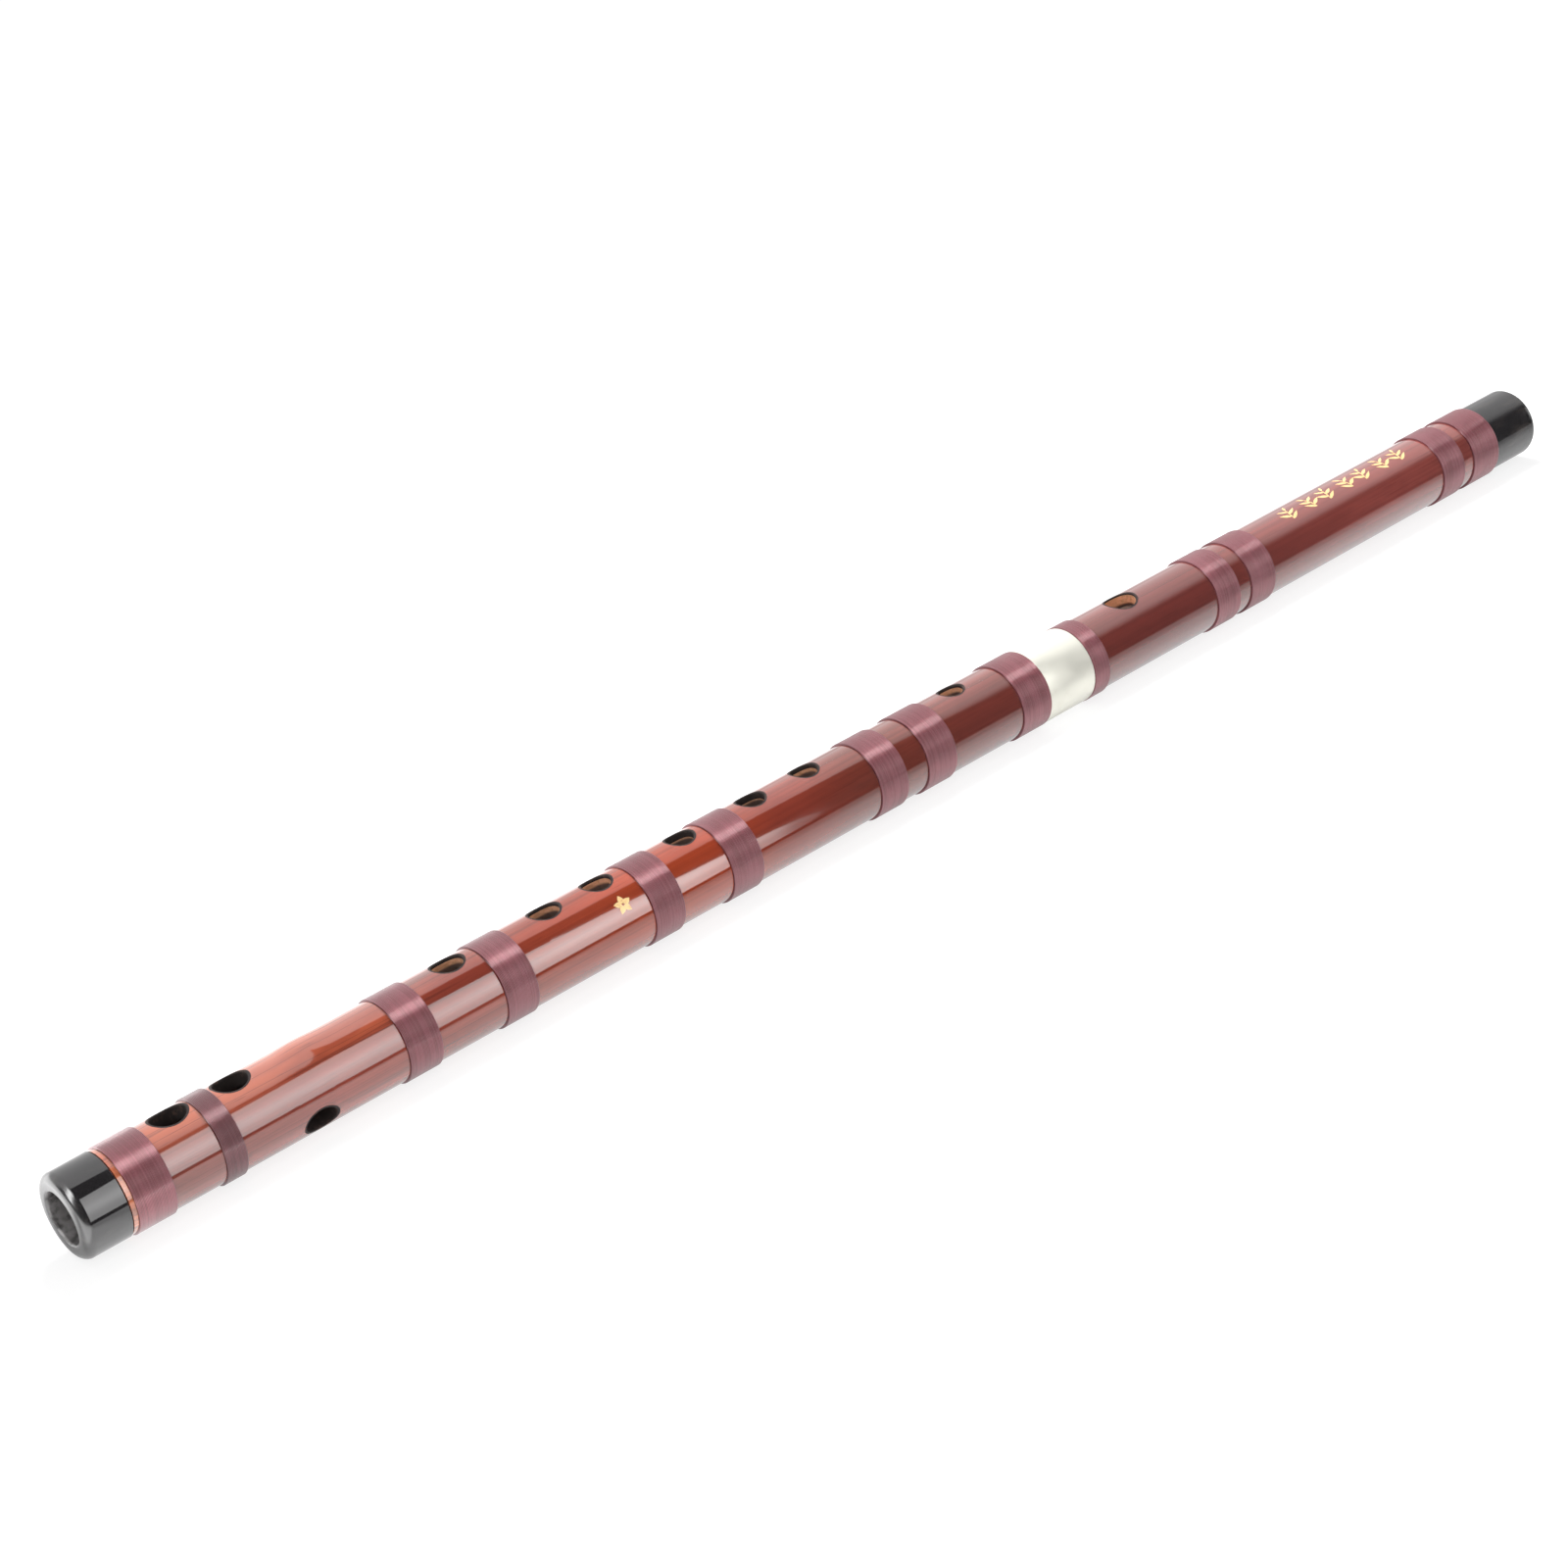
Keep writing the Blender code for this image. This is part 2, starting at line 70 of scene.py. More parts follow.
Point = tuple[float, float]
Triple = tuple[float, float, float]
Colour = Triple
Shape = bpy.types.Object
Material = bpy.types.Material
Socket = bpy.types.NodeSocket
Value = Union[float, Sequence[float], Socket]


class Body(Enum):
    """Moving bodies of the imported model."""

    FOOT = "foot_section"
    TENON = "tenon"
    HEAD = "head_section"
    STOPPER = "stopper"


class Slot(Enum):
    """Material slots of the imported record."""

    BAMBOO = "bamboo"
    HORN = "horn"
    THREAD = "thread"
    SILVER = "silver"
    CORK = "cork"


class Wall(Enum):
    """Finish inside a hole."""

    RAW = "raw"
    PAINTED = "painted"


@dataclass(frozen=True)
class Hole:
    """An oval hole through the bamboo.

    Args:
        name: plain name of the hole.
        station: x of its middle.
        length: size along the flute.
        width: size across the flute.
        turn: its turn round the flute.
        wall: finish inside the hole.
        paint: how far down the wall the black paint of its rim goes.
    """

    name: str
    station: float
    length: float
    width: float
    turn: float = 0.0
    wall: Wall = Wall.RAW
    paint: float = 0.0011


class Bench:
    """Small modelling moves that the flute's pieces share."""

    @staticmethod
    def clear_selection() -> None:
        """Deselects every object."""
        bpy.ops.object.select_all(action="DESELECT")

    @staticmethod
    def take(*pieces: Shape) -> None:
        """Selects these objects alone, and makes the first one active."""
        Bench.clear_selection()
        for piece in pieces:
            piece.select_set(True)
        bpy.context.view_layer.objects.active = pieces[0]

    @staticmethod
    def edit(piece: Shape) -> None:
        """Opens a piece in edit mode."""
        Bench.take(piece)
        bpy.ops.object.mode_set(mode="EDIT")

    @staticmethod
    def leave() -> None:
        """Goes back to object mode."""
        bpy.ops.object.mode_set(mode="OBJECT")

    @staticmethod
    def settle() -> None:
        """Works the selected object's place, turn and scale into its mesh."""
        bpy.ops.object.transform_apply(location=True, rotation=True, scale=True)

    @staticmethod
    def turn_out() -> None:
        """Turns every face outwards and leaves edit mode."""
        bpy.ops.mesh.select_all(action="SELECT")
        bpy.ops.mesh.normals_make_consistent(inside=False)
        Bench.leave()

    @staticmethod
    def weld(threshold: float) -> None:
        """Merges vertices that lie closer than a threshold, turns faces out and leaves edit mode."""
        bpy.ops.mesh.select_all(action="SELECT")
        bpy.ops.mesh.remove_doubles(threshold=threshold)
        Bench.turn_out()

    @staticmethod
    def pick_vertices(piece: Shape, test: Callable[[Vector], bool]) -> None:
        """Selects the vertices that pass a test, in edit mode.

        Args:
            piece: the piece that is open in edit mode.
            test: takes a vertex's place and says whether it is taken.
        """
        bpy.ops.mesh.select_mode(type="VERT")
        shape = bmesh.from_edit_mesh(piece.data)
        for vertex in shape.verts:
            vertex.select = test(vertex.co)
        shape.select_flush_mode()
        bmesh.update_edit_mesh(piece.data)

    @staticmethod
    def pick_faces(piece: Shape, test: Callable[[Vector], bool]) -> None:
        """Selects the faces that pass a test, in edit mode.

        Args:
            piece: the piece that is open in edit mode.
            test: takes a face's middle and says whether it is taken.
        """
        bpy.ops.mesh.select_mode(type="FACE")
        bpy.ops.mesh.select_all(action="DESELECT")
        shape = bmesh.from_edit_mesh(piece.data)
        for face in shape.faces:
            if test(face.calc_center_median()):
                face.select = True
        bmesh.update_edit_mesh(piece.data)

    @staticmethod
    def apply_modifier(piece: Shape, name: str) -> None:
        """Applies one modifier of a piece."""
        Bench.take(piece)
        bpy.ops.object.modifier_apply(modifier=name)

    @staticmethod
    def flat_grid(name: str, columns: int, rows: int, width: float, height: float) -> Shape:
        """Makes a flat grid that stands in the XZ plane, its middle at the origin.

        Args:
            name: name of the new object.
            columns: its cells along x.
            rows: its cells along z.
            width: its size along x.
            height: its size along z.

        Returns:
            The grid.
        """
        Bench.clear_selection()
        bpy.ops.mesh.primitive_grid_add(
            x_subdivisions=columns, y_subdivisions=rows, size=1.0, location=ORIGIN, rotation=UPRIGHT
        )
        grid = bpy.context.active_object
        grid.name = name
        grid.data.name = name
        grid.scale = (width, height, 1.0)
        Bench.settle()
        return grid

    @staticmethod
    def outline(name: str, points: Sequence[Point]) -> Shape:
        """Draws an outline of (x, radius) points above the axis, one vertex after the other.

        Args:
            name: name of the new object.
            points: the outline's points.

        Returns:
            The object, left open in edit mode with its last vertex selected.
        """
        Bench.clear_selection()
        first = (points[0][0], 0.0, AXIS_HEIGHT + points[0][1])
        bpy.ops.mesh.primitive_plane_add(size=0.001, location=first)
        piece = bpy.context.active_object
        piece.name = name
        piece.data.name = name
        Bench.settle()
        bpy.ops.object.mode_set(mode="EDIT")
        bpy.ops.mesh.select_mode(type="VERT")
        bpy.ops.mesh.select_all(action="SELECT")
        bpy.ops.mesh.merge(type="CENTER")
        Bench.draw_on(points)
        return piece

    @staticmethod
    def draw_on(points: Sequence[Point]) -> None:
        """Extrudes the selected vertex, which is the first point, through the others."""
        for before, after in zip(points, points[1:]):
            step = (after[0] - before[0], 0.0, after[1] - before[1])
            bpy.ops.mesh.extrude_vertices_move(TRANSFORM_OT_translate={"value": step})

    @staticmethod
    def spin(sides: int = TURNED_SIDES) -> None:
        """Spins the outline that is open in edit mode round the flute's axis and closes it.

        Args:
            sides: how many steps the full turn has.
        """
        bpy.ops.mesh.select_all(action="SELECT")
        bpy.ops.mesh.spin(
            steps=sides, angle=math.tau, center=(0.0, 0.0, AXIS_HEIGHT), axis=(1.0, 0.0, 0.0)
        )
        Bench.weld(0.000004)

    @staticmethod
    def turned(name: str, points: Sequence[Point], sides: int = TURNED_SIDES) -> Shape:
        """Turns a closed outline of (x, radius) points into a ring or tube.

        Args:
            name: name of the piece.
            points: the outline, without its first point again at the end.
            sides: how many steps the full turn has.

        Returns:
            The turned piece.
        """
        piece = Bench.outline(name, [*points, points[0]])
        Bench.spin(sides)
        return piece

    @staticmethod
    def smooth(piece: Shape, degrees: float = SMOOTH_ANGLE) -> None:
        """Shades a piece smooth, apart from edges sharper than an angle."""
        Bench.take(piece)
        bpy.ops.object.shade_smooth_by_angle(angle=math.radians(degrees))

    @staticmethod
    def finish(piece: Shape, material: Material, degrees: float = SMOOTH_ANGLE) -> Shape:
        """Gives a piece its one finish and its smooth shading.

        Args:
            piece: the piece.
            material: its finish.
            degrees: the angle past which an edge stays sharp.

        Returns:
            The same piece.
        """
        piece.data.materials.append(material)
        Bench.smooth(piece, degrees)
        return piece

    @staticmethod
    def bend(piece: Shape, angle: float) -> None:
        """Bends a flat piece that stands in the XZ plane round an axis along X.

        Args:
            piece: the flat piece, whose height is its arc on the curved face.
            angle: radians that its whole height takes up.
        """
        bend = piece.modifiers.new("bend", "SIMPLE_DEFORM")
        bend.deform_method = "BEND"
        bend.deform_axis = "X"
        bend.angle = angle
        Bench.apply_modifier(piece, "bend")

    @staticmethod
    def place_on_flute(piece: Shape, radius: float, station: float, turn: float) -> None:
        """Carries a bent patch from its own place to a station and turn of the flute.

        Args:
            piece: the patch, bent round an axis at y = radius, its middle at the origin.
            radius: radius that it was bent to.
            station: x that its middle goes to.
            turn: its turn round the flute.
        """
        Bench.take(piece)
        piece.location = (0.0, -radius, 0.0)
        Bench.settle()
        piece.rotation_euler = (math.radians(turn - 90.0), 0.0, 0.0)
        piece.location = (station, 0.0, AXIS_HEIGHT)
        Bench.settle()

    @staticmethod
    def arc(centre: Point, radius: float, start: float, end: float, steps: int) -> list[Point]:
        """Points of an arc in the outline's plane.

        Args:
            centre: (x, radius) of the arc's centre.
            radius: size of the arc.
            start: first angle in degrees, 0 along +X and 90 away from the axis.
            end: last angle in degrees.
            steps: how many steps the arc has.

        Returns:
            The points, both ends among them.
        """
        points = []
        for index in range(steps + 1):
            angle = math.radians(start + (end - start) * index / steps)
            points.append((centre[0] + radius * math.cos(angle), centre[1] + radius * math.sin(angle)))
        return points


@dataclass(frozen=True)
class Grain:
    """A cloud pattern on object coordinates.

    Args:
        scale: how fine it is along x, y and z.
        detail: its octaves.
        rough: share of the finer octaves.
        shift: shift along x, y and z, after the scale.
    """

    scale: Triple
    detail: float = 2.0
    rough: float = 0.5
    shift: Triple = ORIGIN


@dataclass(frozen=True)
class Ramp:
    """A range of a value that goes smoothly over into a range of results.

    Args:
        low: value that gives the first result.
        high: value that gives the last one.
        first: first result.
        last: last result.
    """

    low: float
    high: float
    first: float = 0.0
    last: float = 1.0


class Nodes:
    """A node tree, with short calls that fill it."""

    def __init__(self, owner: Union[Material, bpy.types.World]) -> None:
        """Empties the owner's node tree."""
        owner.use_nodes = True
        self.tree = owner.node_tree
        self.tree.nodes.clear()

    def put(self, socket: Socket, value: Value) -> None:
        """Sets a socket to a value, or links another socket to it."""
        if isinstance(value, Socket):
            self.tree.links.new(value, socket)
        elif isinstance(value, (int, float)):
            socket.default_value = value
        elif len(socket.default_value) == 4:
            socket.default_value = (*value, 1.0)
        else:
            socket.default_value = value

    def fill(self, node: bpy.types.Node, values: dict[str, Value]) -> None:
        """Sets a node's inputs, named with _ for a space."""
        for name, value in values.items():
            self.put(node.inputs[name.replace("_", " ")], value)

    def node(self, kind: str, **values: Value) -> bpy.types.Node:
        """Adds a node and sets its inputs, named with _ for a space."""
        node = self.tree.nodes.new(kind)
        self.fill(node, values)
        return node

    def joined(self, kind: str, *values: Value) -> Socket:
        """Adds a node, sets its inputs in their order and gives its first output."""
        node = self.node(kind)
        for socket, value in zip(node.inputs, values):
            self.put(socket, value)
        return node.outputs[0]


class Sheet(Nodes):
    """The node tree of a finish, with a Principled shader."""

    def __init__(self, name: str) -> None:
        """Starts a material with its shader and object coordinates."""
        self.material = bpy.data.materials.new(name)
        super().__init__(self.material)
        self.shader = self.node("ShaderNodeBsdfPrincipled")
        self.node("ShaderNodeOutputMaterial", Surface=self.shader.outputs["BSDF"])
        self.coordinates = self.node("ShaderNodeTexCoord").outputs["Object"]

    def noise(self, grain: Grain) -> Socket:
        """Value of a cloud pattern, about 0.5 in the middle."""
        place = self.node(
            "ShaderNodeMapping", Vector=self.coordinates, Scale=grain.scale, Location=grain.shift
        )
        noise = self.node(
            "ShaderNodeTexNoise",
            Vector=place.outputs["Vector"],
            Scale=1.0,
            Detail=grain.detail,
            Roughness=grain.rough,
        )
        return noise.outputs["Fac"]

    def span(self, value: Value, ramp: Ramp) -> Socket:
        """Maps a value smoothly by a ramp, clamped.

        Args:
            value: the value that is mapped.
            ramp: the two ranges.

        Returns:
            The mapped value.
        """
        node = self.node(
            "ShaderNodeMapRange",
            Value=value,
            From_Min=ramp.low,
            From_Max=ramp.high,
            To_Min=ramp.first,
            To_Max=ramp.last,
        )
        node.interpolation_type = "SMOOTHSTEP"
        return node.outputs["Result"]

    def mix(self, share: Value, first: Value, second: Value) -> Socket:
        """Mixes two colours.

        Args:
            share: share of the second one.
            first: first colour.
            second: second colour.

        Returns:
            The mixed colour.
        """
        node = self.node("ShaderNodeMix")
        node.data_type = "RGBA"
        sockets = [socket for socket in node.inputs if socket.enabled]
        for socket, value in zip(sockets, (share, first, second)):
            self.put(socket, value)
        return [socket for socket in node.outputs if socket.enabled][0]

    def dimmed(self, colour: Value, share: float) -> Socket:
        """A colour at a share of its brightness."""
        return self.node("ShaderNodeHueSaturation", Value=share, Color=colour).outputs["Color"]

    def shaded(self, value: Socket, shades: Sequence[tuple[float, Colour]]) -> Socket:
        """Colour that changes smoothly from one place of a value to the next.

        Args:
            value: the value that is read.
            shades: (value, colour) places in rising order.

        Returns:
            The colour.
        """
        low, high = shades[0][0], shades[-1][0]
        scaled = self.node("ShaderNodeMapRange", Value=value, From_Min=low, From_Max=high)
        ramp = self.node("ShaderNodeValToRGB", Fac=scaled.outputs["Result"])
        ramp.color_ramp.interpolation = "EASE"
        stops = ramp.color_ramp.elements
        for place, _ in shades[1:-1]:
            stops.new((place - low) / (high - low))
        for stop, (_, colour) in zip(stops, shades):
            stop.color = (*colour, 1.0)
        return ramp.outputs["Color"]

    def sum(self, operation: str, first: Value, second: Value = 0.0) -> Socket:
        """One sum on two values.

        Args:
            operation: Blender's name of the operation.
            first: first value.
            second: second value.

        Returns:
            The result.
        """
        node = self.node("ShaderNodeMath")
        node.operation = operation
        self.put(node.inputs[0], first)
        self.put(node.inputs[1], second)
        return node.outputs[0]

    def product(self, first: Value, *others: Value) -> Socket:
        """Product of two or more values."""
        for other in others:
            first = self.sum("MULTIPLY", first, other)
        return first

    def apart(self, first: Value, second: Value) -> Socket:
        """How far two values are apart."""
        return self.sum("ABSOLUTE", self.sum("SUBTRACT", first, second))

    def axis_values(self) -> tuple[Socket, Socket, Socket]:
        """Object coordinates as three values, with z from the flute's axis."""
        node = self.node("ShaderNodeSeparateXYZ", Vector=self.coordinates)
        height = self.sum("SUBTRACT", node.outputs[2], AXIS_HEIGHT)
        return node.outputs[0], node.outputs[1], height

    def radius(self) -> Socket:
        """Distance from the flute's axis."""
        _, across, height = self.axis_values()
        square = self.sum("ADD", self.product(across, across), self.product(height, height))
        return self.sum("SQRT", square)

    def bump(self, height: Socket, distance: float, before: Optional[Socket] = None) -> Socket:
        """Turns a height into a normal.

        Args:
            height: the height pattern.
            distance: depth in metres of a height of 1.
            before: a normal that this one is laid on.

        Returns:
            The normal.
        """
        node = self.node("ShaderNodeBump", Height=height, Distance=distance, Strength=1.0)
        if before is not None:
            self.put(node.inputs["Normal"], before)
        return node.outputs["Normal"]

    def finish(self, **values: Value) -> Material:
        """Sets the shader's sockets, named with _ for a space, and gives the material."""
        self.fill(self.shader, values)
        return self.material


@dataclass(frozen=True)
class LacqueredBamboo:
    """Red-brown lacquer over bamboo, with the fibres showing through.

    Args:
        name: name of the material.
        shades: (x, colour) places along the flute, between which the lacquer's colour changes, partly its own
            tint and partly painted light that is brighter on the foot half.
        bare_end: x below which the strip beside the foot cap is bare.
        bare_colour: colour of that strip.
        pore: colour of the dark lines and dashes.
        node_flank_shade: colour of the painted shade on the -Y flank beside the node.
        lit_warm_top: colour of the lighter, warmer top side near the foot end, partly a warmer tint where the
            lacquer is thin and partly painted light from above.
        dark: share of the colour left in a dark fibre.
        side: share of the colour left on the flanks of the middle stretch, a painted shade on both flanks.
        fibres: pattern of the fibres.
        clouds: pattern of the lacquer's uneven depth.
        dashes: pattern of the short dark dashes.
        lines: pattern of the long dark lines, which run where it crosses its middle.
        waves: pattern of the bamboo's slight unevenness.
        line_width: how far from its middle the lines' pattern is dark.
        line_share: how dark the lines are, by x.
        node_shade_turns: that painted shade's two sides, by radians from straight up.
        node_shade_ends: its two ends, by x.
        middle_shade_turn: where that painted flank shade starts, by radians from straight up.
        middle_shade_ends: the two ends of that painted shade, by x.
        lit_top_end: where that lit top stretch ends, by x.
        lit_top_height: where the lit top side starts, by height over the axis.
        lit_top_clouds: how the clouds break up the lit top.
        fibre_share: how dark the fibres are, by their pattern.
        cloud_share: how dark the clouds are, by their pattern.
        dash_share: how dark the dashes are, by their pattern.
        gloss: roughness by the clouds.
        fibre_depth: depth of the fibre relief in metres.
        wave_depth: depth of the unevenness in metres.
    """

    name: str = "red_lacquer_over_bamboo"
    shades: tuple[tuple[float, Colour], ...] = (
        (-0.266, (0.25, 0.058, 0.042)),
        (-0.222, (0.29, 0.056, 0.038)),
        (-0.198, (0.30, 0.054, 0.034)),
        (-0.164, (0.28, 0.046, 0.026)),
        (-0.135, (0.30, 0.045, 0.020)),
        (-0.098, (0.39, 0.053, 0.016)),
        (-0.080, (0.38, 0.050, 0.016)),
        (-0.050, (0.265, 0.040, 0.022)),
        (-0.024, (0.180, 0.033, 0.020)),
        (0.030, (0.170, 0.032, 0.023)),
        (0.105, (0.165, 0.032, 0.026)),
        (0.210, (0.205, 0.043, 0.035)),
    )
    bare_end: float = -0.2641
    bare_colour: Colour = (0.66, 0.20, 0.09)
    pore: Colour = (0.06, 0.010, 0.007)
    node_flank_shade: Colour = (0.215, 0.032, 0.020)
    lit_warm_top: Colour = (0.45, 0.095, 0.038)
    dark: float = 0.60
    side: float = 0.74
    fibres: Grain = Grain((6.0, 520.0, 520.0), 5.0, 0.62)
    clouds: Grain = Grain((24.0, 85.0, 85.0), 3.0, 0.55, (3.0, 1.0, 2.0))
    dashes: Grain = Grain((75.0, 2300.0, 2300.0), shift=(1.0, 5.0, 2.0))
    lines: Grain = Grain((3.2, 210.0, 210.0), shift=(5.0, 2.0, 9.0))
    waves: Grain = Grain((14.0, 70.0, 70.0), shift=(7.0, 3.0, 1.0))
    line_width: Ramp = Ramp(0.020, 0.004)
    line_share: Ramp = Ramp(-0.10, -0.16, 0.10, 0.42)
    node_shade_turns: tuple[Ramp, Ramp] = (Ramp(0.42, 0.60), Ramp(1.10, 0.86))
    node_shade_ends: tuple[Ramp, Ramp] = (Ramp(-0.225, -0.205), Ramp(-0.138, -0.158, 0.0, 0.85))
    middle_shade_turn: Ramp = Ramp(0.54, 0.76)
    middle_shade_ends: tuple[Ramp, Ramp] = (Ramp(-0.14, -0.10), Ramp(0.20, 0.15))
    lit_top_end: Ramp = Ramp(-0.165, -0.200)
    lit_top_height: Ramp = Ramp(0.006, 0.0108)
    lit_top_clouds: Ramp = Ramp(0.35, 0.60, 0.4, 1.0)
    fibre_share: Ramp = Ramp(0.62, 0.34, 0.0, 0.85)
    cloud_share: Ramp = Ramp(0.56, 0.36, 0.0, 0.50)
    dash_share: Ramp = Ramp(0.64, 0.74, 0.0, 0.30)
    gloss: Ramp = Ramp(0.3, 0.7, 0.07, 0.12)
    fibre_depth: float = 0.000003
    wave_depth: float = 0.00005

    def make(self) -> Material:
        """Builds the material."""
        sheet = Sheet(self.name)
        along, across, height = sheet.axis_values()
        turn = sheet.sum("ARCTAN2", sheet.product(across, -1.0), height)
        fibres, clouds = sheet.noise(self.fibres), sheet.noise(self.clouds)
        # Colour along the flute: partly the lacquer's tint, partly painted light that is brighter on the foot
        # half.
        colour = sheet.shaded(along, self.shades)
        colour = sheet.mix(sheet.sum("LESS_THAN", along, self.bare_end), colour, self.bare_colour)
        darker = sheet.dimmed(colour, self.dark)
        # Painted shade: a darker band on the -Y flank beside the node.
        node_shaded = sheet.product(
            *(sheet.span(turn, ramp) for ramp in self.node_shade_turns),
            *(sheet.span(along, ramp) for ramp in self.node_shade_ends),
        )
        colour = sheet.mix(node_shaded, colour, self.node_flank_shade)
        # Painted shade: darker flanks on the middle stretch.
        middle_shaded = sheet.product(
            sheet.span(sheet.sum("ABSOLUTE", turn), self.middle_shade_turn),
            *(sheet.span(along, ramp) for ramp in self.middle_shade_ends),
        )
        colour = sheet.mix(middle_shaded, colour, sheet.dimmed(colour, self.side))
        colour = sheet.mix(sheet.span(fibres, self.fibre_share), colour, darker)
        colour = sheet.mix(sheet.span(clouds, self.cloud_share), colour, darker)
        # Lighter, warmer top side near the foot end: partly a warmer tint where the lacquer is thin, partly
        # painted light from above.
        lit_top = sheet.product(
            sheet.span(along, self.lit_top_end),
            sheet.span(height, self.lit_top_height),
            sheet.span(clouds, self.lit_top_clouds),
        )
        colour = sheet.mix(lit_top, colour, self.lit_warm_top)
        line = sheet.span(sheet.apart(sheet.noise(self.lines), 0.5), self.line_width)
        colour = sheet.mix(sheet.product(line, sheet.span(along, self.line_share)), colour, self.pore)
        colour = sheet.mix(sheet.span(sheet.noise(self.dashes), self.dash_share), colour, self.pore)
        relief = sheet.bump(fibres, self.fibre_depth)
        relief = sheet.bump(sheet.noise(self.waves), self.wave_depth, relief)
        return sheet.finish(
            Base_Color=colour,
            Roughness=sheet.span(clouds, self.gloss),
            Specular_IOR_Level=0.5,
            Coat_Weight=1.0,
            Coat_IOR=1.6,
            Coat_Roughness=0.028,
            Coat_Normal=relief,
            Normal=relief,
        )


@dataclass(frozen=True)
class LacqueredThread:
    """Maroon silk thread under lacquer.

    Args:
        name: name of the material.
        colour: colour of the thread.
        deep: colour between its turns.
        worn: colour where the lacquer is rubbed.
        dimmed_binding_at: x of the narrow binding, whose thread is darker, a painted shade that dims its
            highlight.
        dimmed_binding_share: share of the colour left there.
        turns: pattern of the thread's turns.
        fuzz: pattern of its fuzz.
        patches: pattern of the rubbed patches.
        turn_share: how far the thread's own colour shows, by the turns.
        worn_share: how far the lacquer is rubbed, by the patches.
        dimmed_binding_reach: where that painted shade ends, by the distance from its middle.
        fuzz_depth: depth of the fuzz in metres.
    """

    name: str = "lacquered_maroon_thread"
    colour: Colour = (0.215, 0.063, 0.076)
    deep: Colour = (0.160, 0.044, 0.053)
    worn: Colour = (0.270, 0.095, 0.112)
    dimmed_binding_at: float = -0.2365
    dimmed_binding_share: float = 0.62
    turns: Grain = Grain((2600.0, 45.0, 45.0))
    fuzz: Grain = Grain((900.0, 900.0, 900.0), 3.0, 0.6)
    patches: Grain = Grain((70.0, 70.0, 70.0))
    turn_share: Ramp = Ramp(0.35, 0.65)
    worn_share: Ramp = Ramp(0.42, 0.70, 0.0, 0.35)
    dimmed_binding_reach: Ramp = Ramp(0.0048, 0.0052)
    fuzz_depth: float = 0.000006

    def make(self) -> Material:
        """Builds the material."""
        sheet = Sheet(self.name)
        along = sheet.axis_values()[0]
        colour = sheet.mix(sheet.span(sheet.noise(self.turns), self.turn_share), self.deep, self.colour)
        colour = sheet.mix(sheet.span(sheet.noise(self.patches), self.worn_share), colour, self.worn)
        # Painted shade: the narrow binding's thread is darker, which dims its highlight.
        beside = sheet.span(sheet.apart(along, self.dimmed_binding_at), self.dimmed_binding_reach)
        colour = sheet.mix(beside, sheet.dimmed(colour, self.dimmed_binding_share), colour)
        relief = sheet.bump(sheet.noise(self.fuzz), self.fuzz_depth)
        return sheet.finish(
            Base_Color=colour,
            Metallic=0.65,
            Roughness=0.31,
            Coat_Weight=0.9,
            Coat_IOR=1.5,
            Coat_Roughness=0.08,
            Normal=relief,
            Coat_Normal=relief,
        )


@dataclass(frozen=True)
class PolishedHorn:
    """Black polished horn of the end caps.

    Args:
        name: name of the material.
        colour: its colour.
        streak: colour of its faint streaks.
        mouth_lit_grey: lighter grey inside the mouth, painted light on its inner wall.
        streaks: pattern of the streaks.
        rubs: pattern of the polish.
        streak_share: how far the streaks show, by their pattern.
        mouth: where the mouth starts, by the distance from the axis.
        mouth_rubs: how the polish's pattern breaks up the mouth's colour.
        mouth_satin: roughness inside the mouth.
        end_satin: roughness near the two end faces, by the distance from the flute's middle.
        gloss: roughness of the rest, by the polish's pattern.
        depth: depth of the polish's relief in metres.
    """

    name: str = "polished_black_horn"
    colour: Colour = (0.012, 0.011, 0.012)
    streak: Colour = (0.034, 0.029, 0.027)
    mouth_lit_grey: Colour = (0.20, 0.19, 0.19)
    streaks: Grain = Grain((60.0, 340.0, 340.0), 4.0, 0.6)
    rubs: Grain = Grain((420.0, 420.0, 420.0), 3.0)
    streak_share: Ramp = Ramp(0.50, 0.72)
    mouth: Ramp = Ramp(0.0078, 0.0072)
    mouth_rubs: Ramp = Ramp(0.30, 0.62)
    mouth_satin: float = 0.45
    end_satin: Ramp = Ramp(0.2758, 0.2770, 0.0, 0.24)
    gloss: Ramp = Ramp(0.35, 0.75, 0.05, 0.09)
    depth: float = 0.000002

    def make(self) -> Material:
        """Builds the material."""
        sheet = Sheet(self.name)
        rubs = sheet.noise(self.rubs)
        mouth = sheet.span(sheet.radius(), self.mouth)
        colour = sheet.mix(sheet.span(sheet.noise(self.streaks), self.streak_share), self.colour, self.streak)
        # Painted light: lighter grey on the inside of the mouth.
        colour = sheet.mix(sheet.product(mouth, sheet.span(rubs, self.mouth_rubs)), colour, self.mouth_lit_grey)
        ends = sheet.span(sheet.apart(sheet.axis_values()[0], 0.0), self.end_satin)
        satin = sheet.sum("MAXIMUM", ends, sheet.product(mouth, self.mouth_satin))
        return sheet.finish(
            Base_Color=colour,
            Roughness=sheet.sum("MAXIMUM", sheet.span(rubs, self.gloss), satin),
            IOR=1.72,
            Normal=sheet.bump(rubs, self.depth),
        )


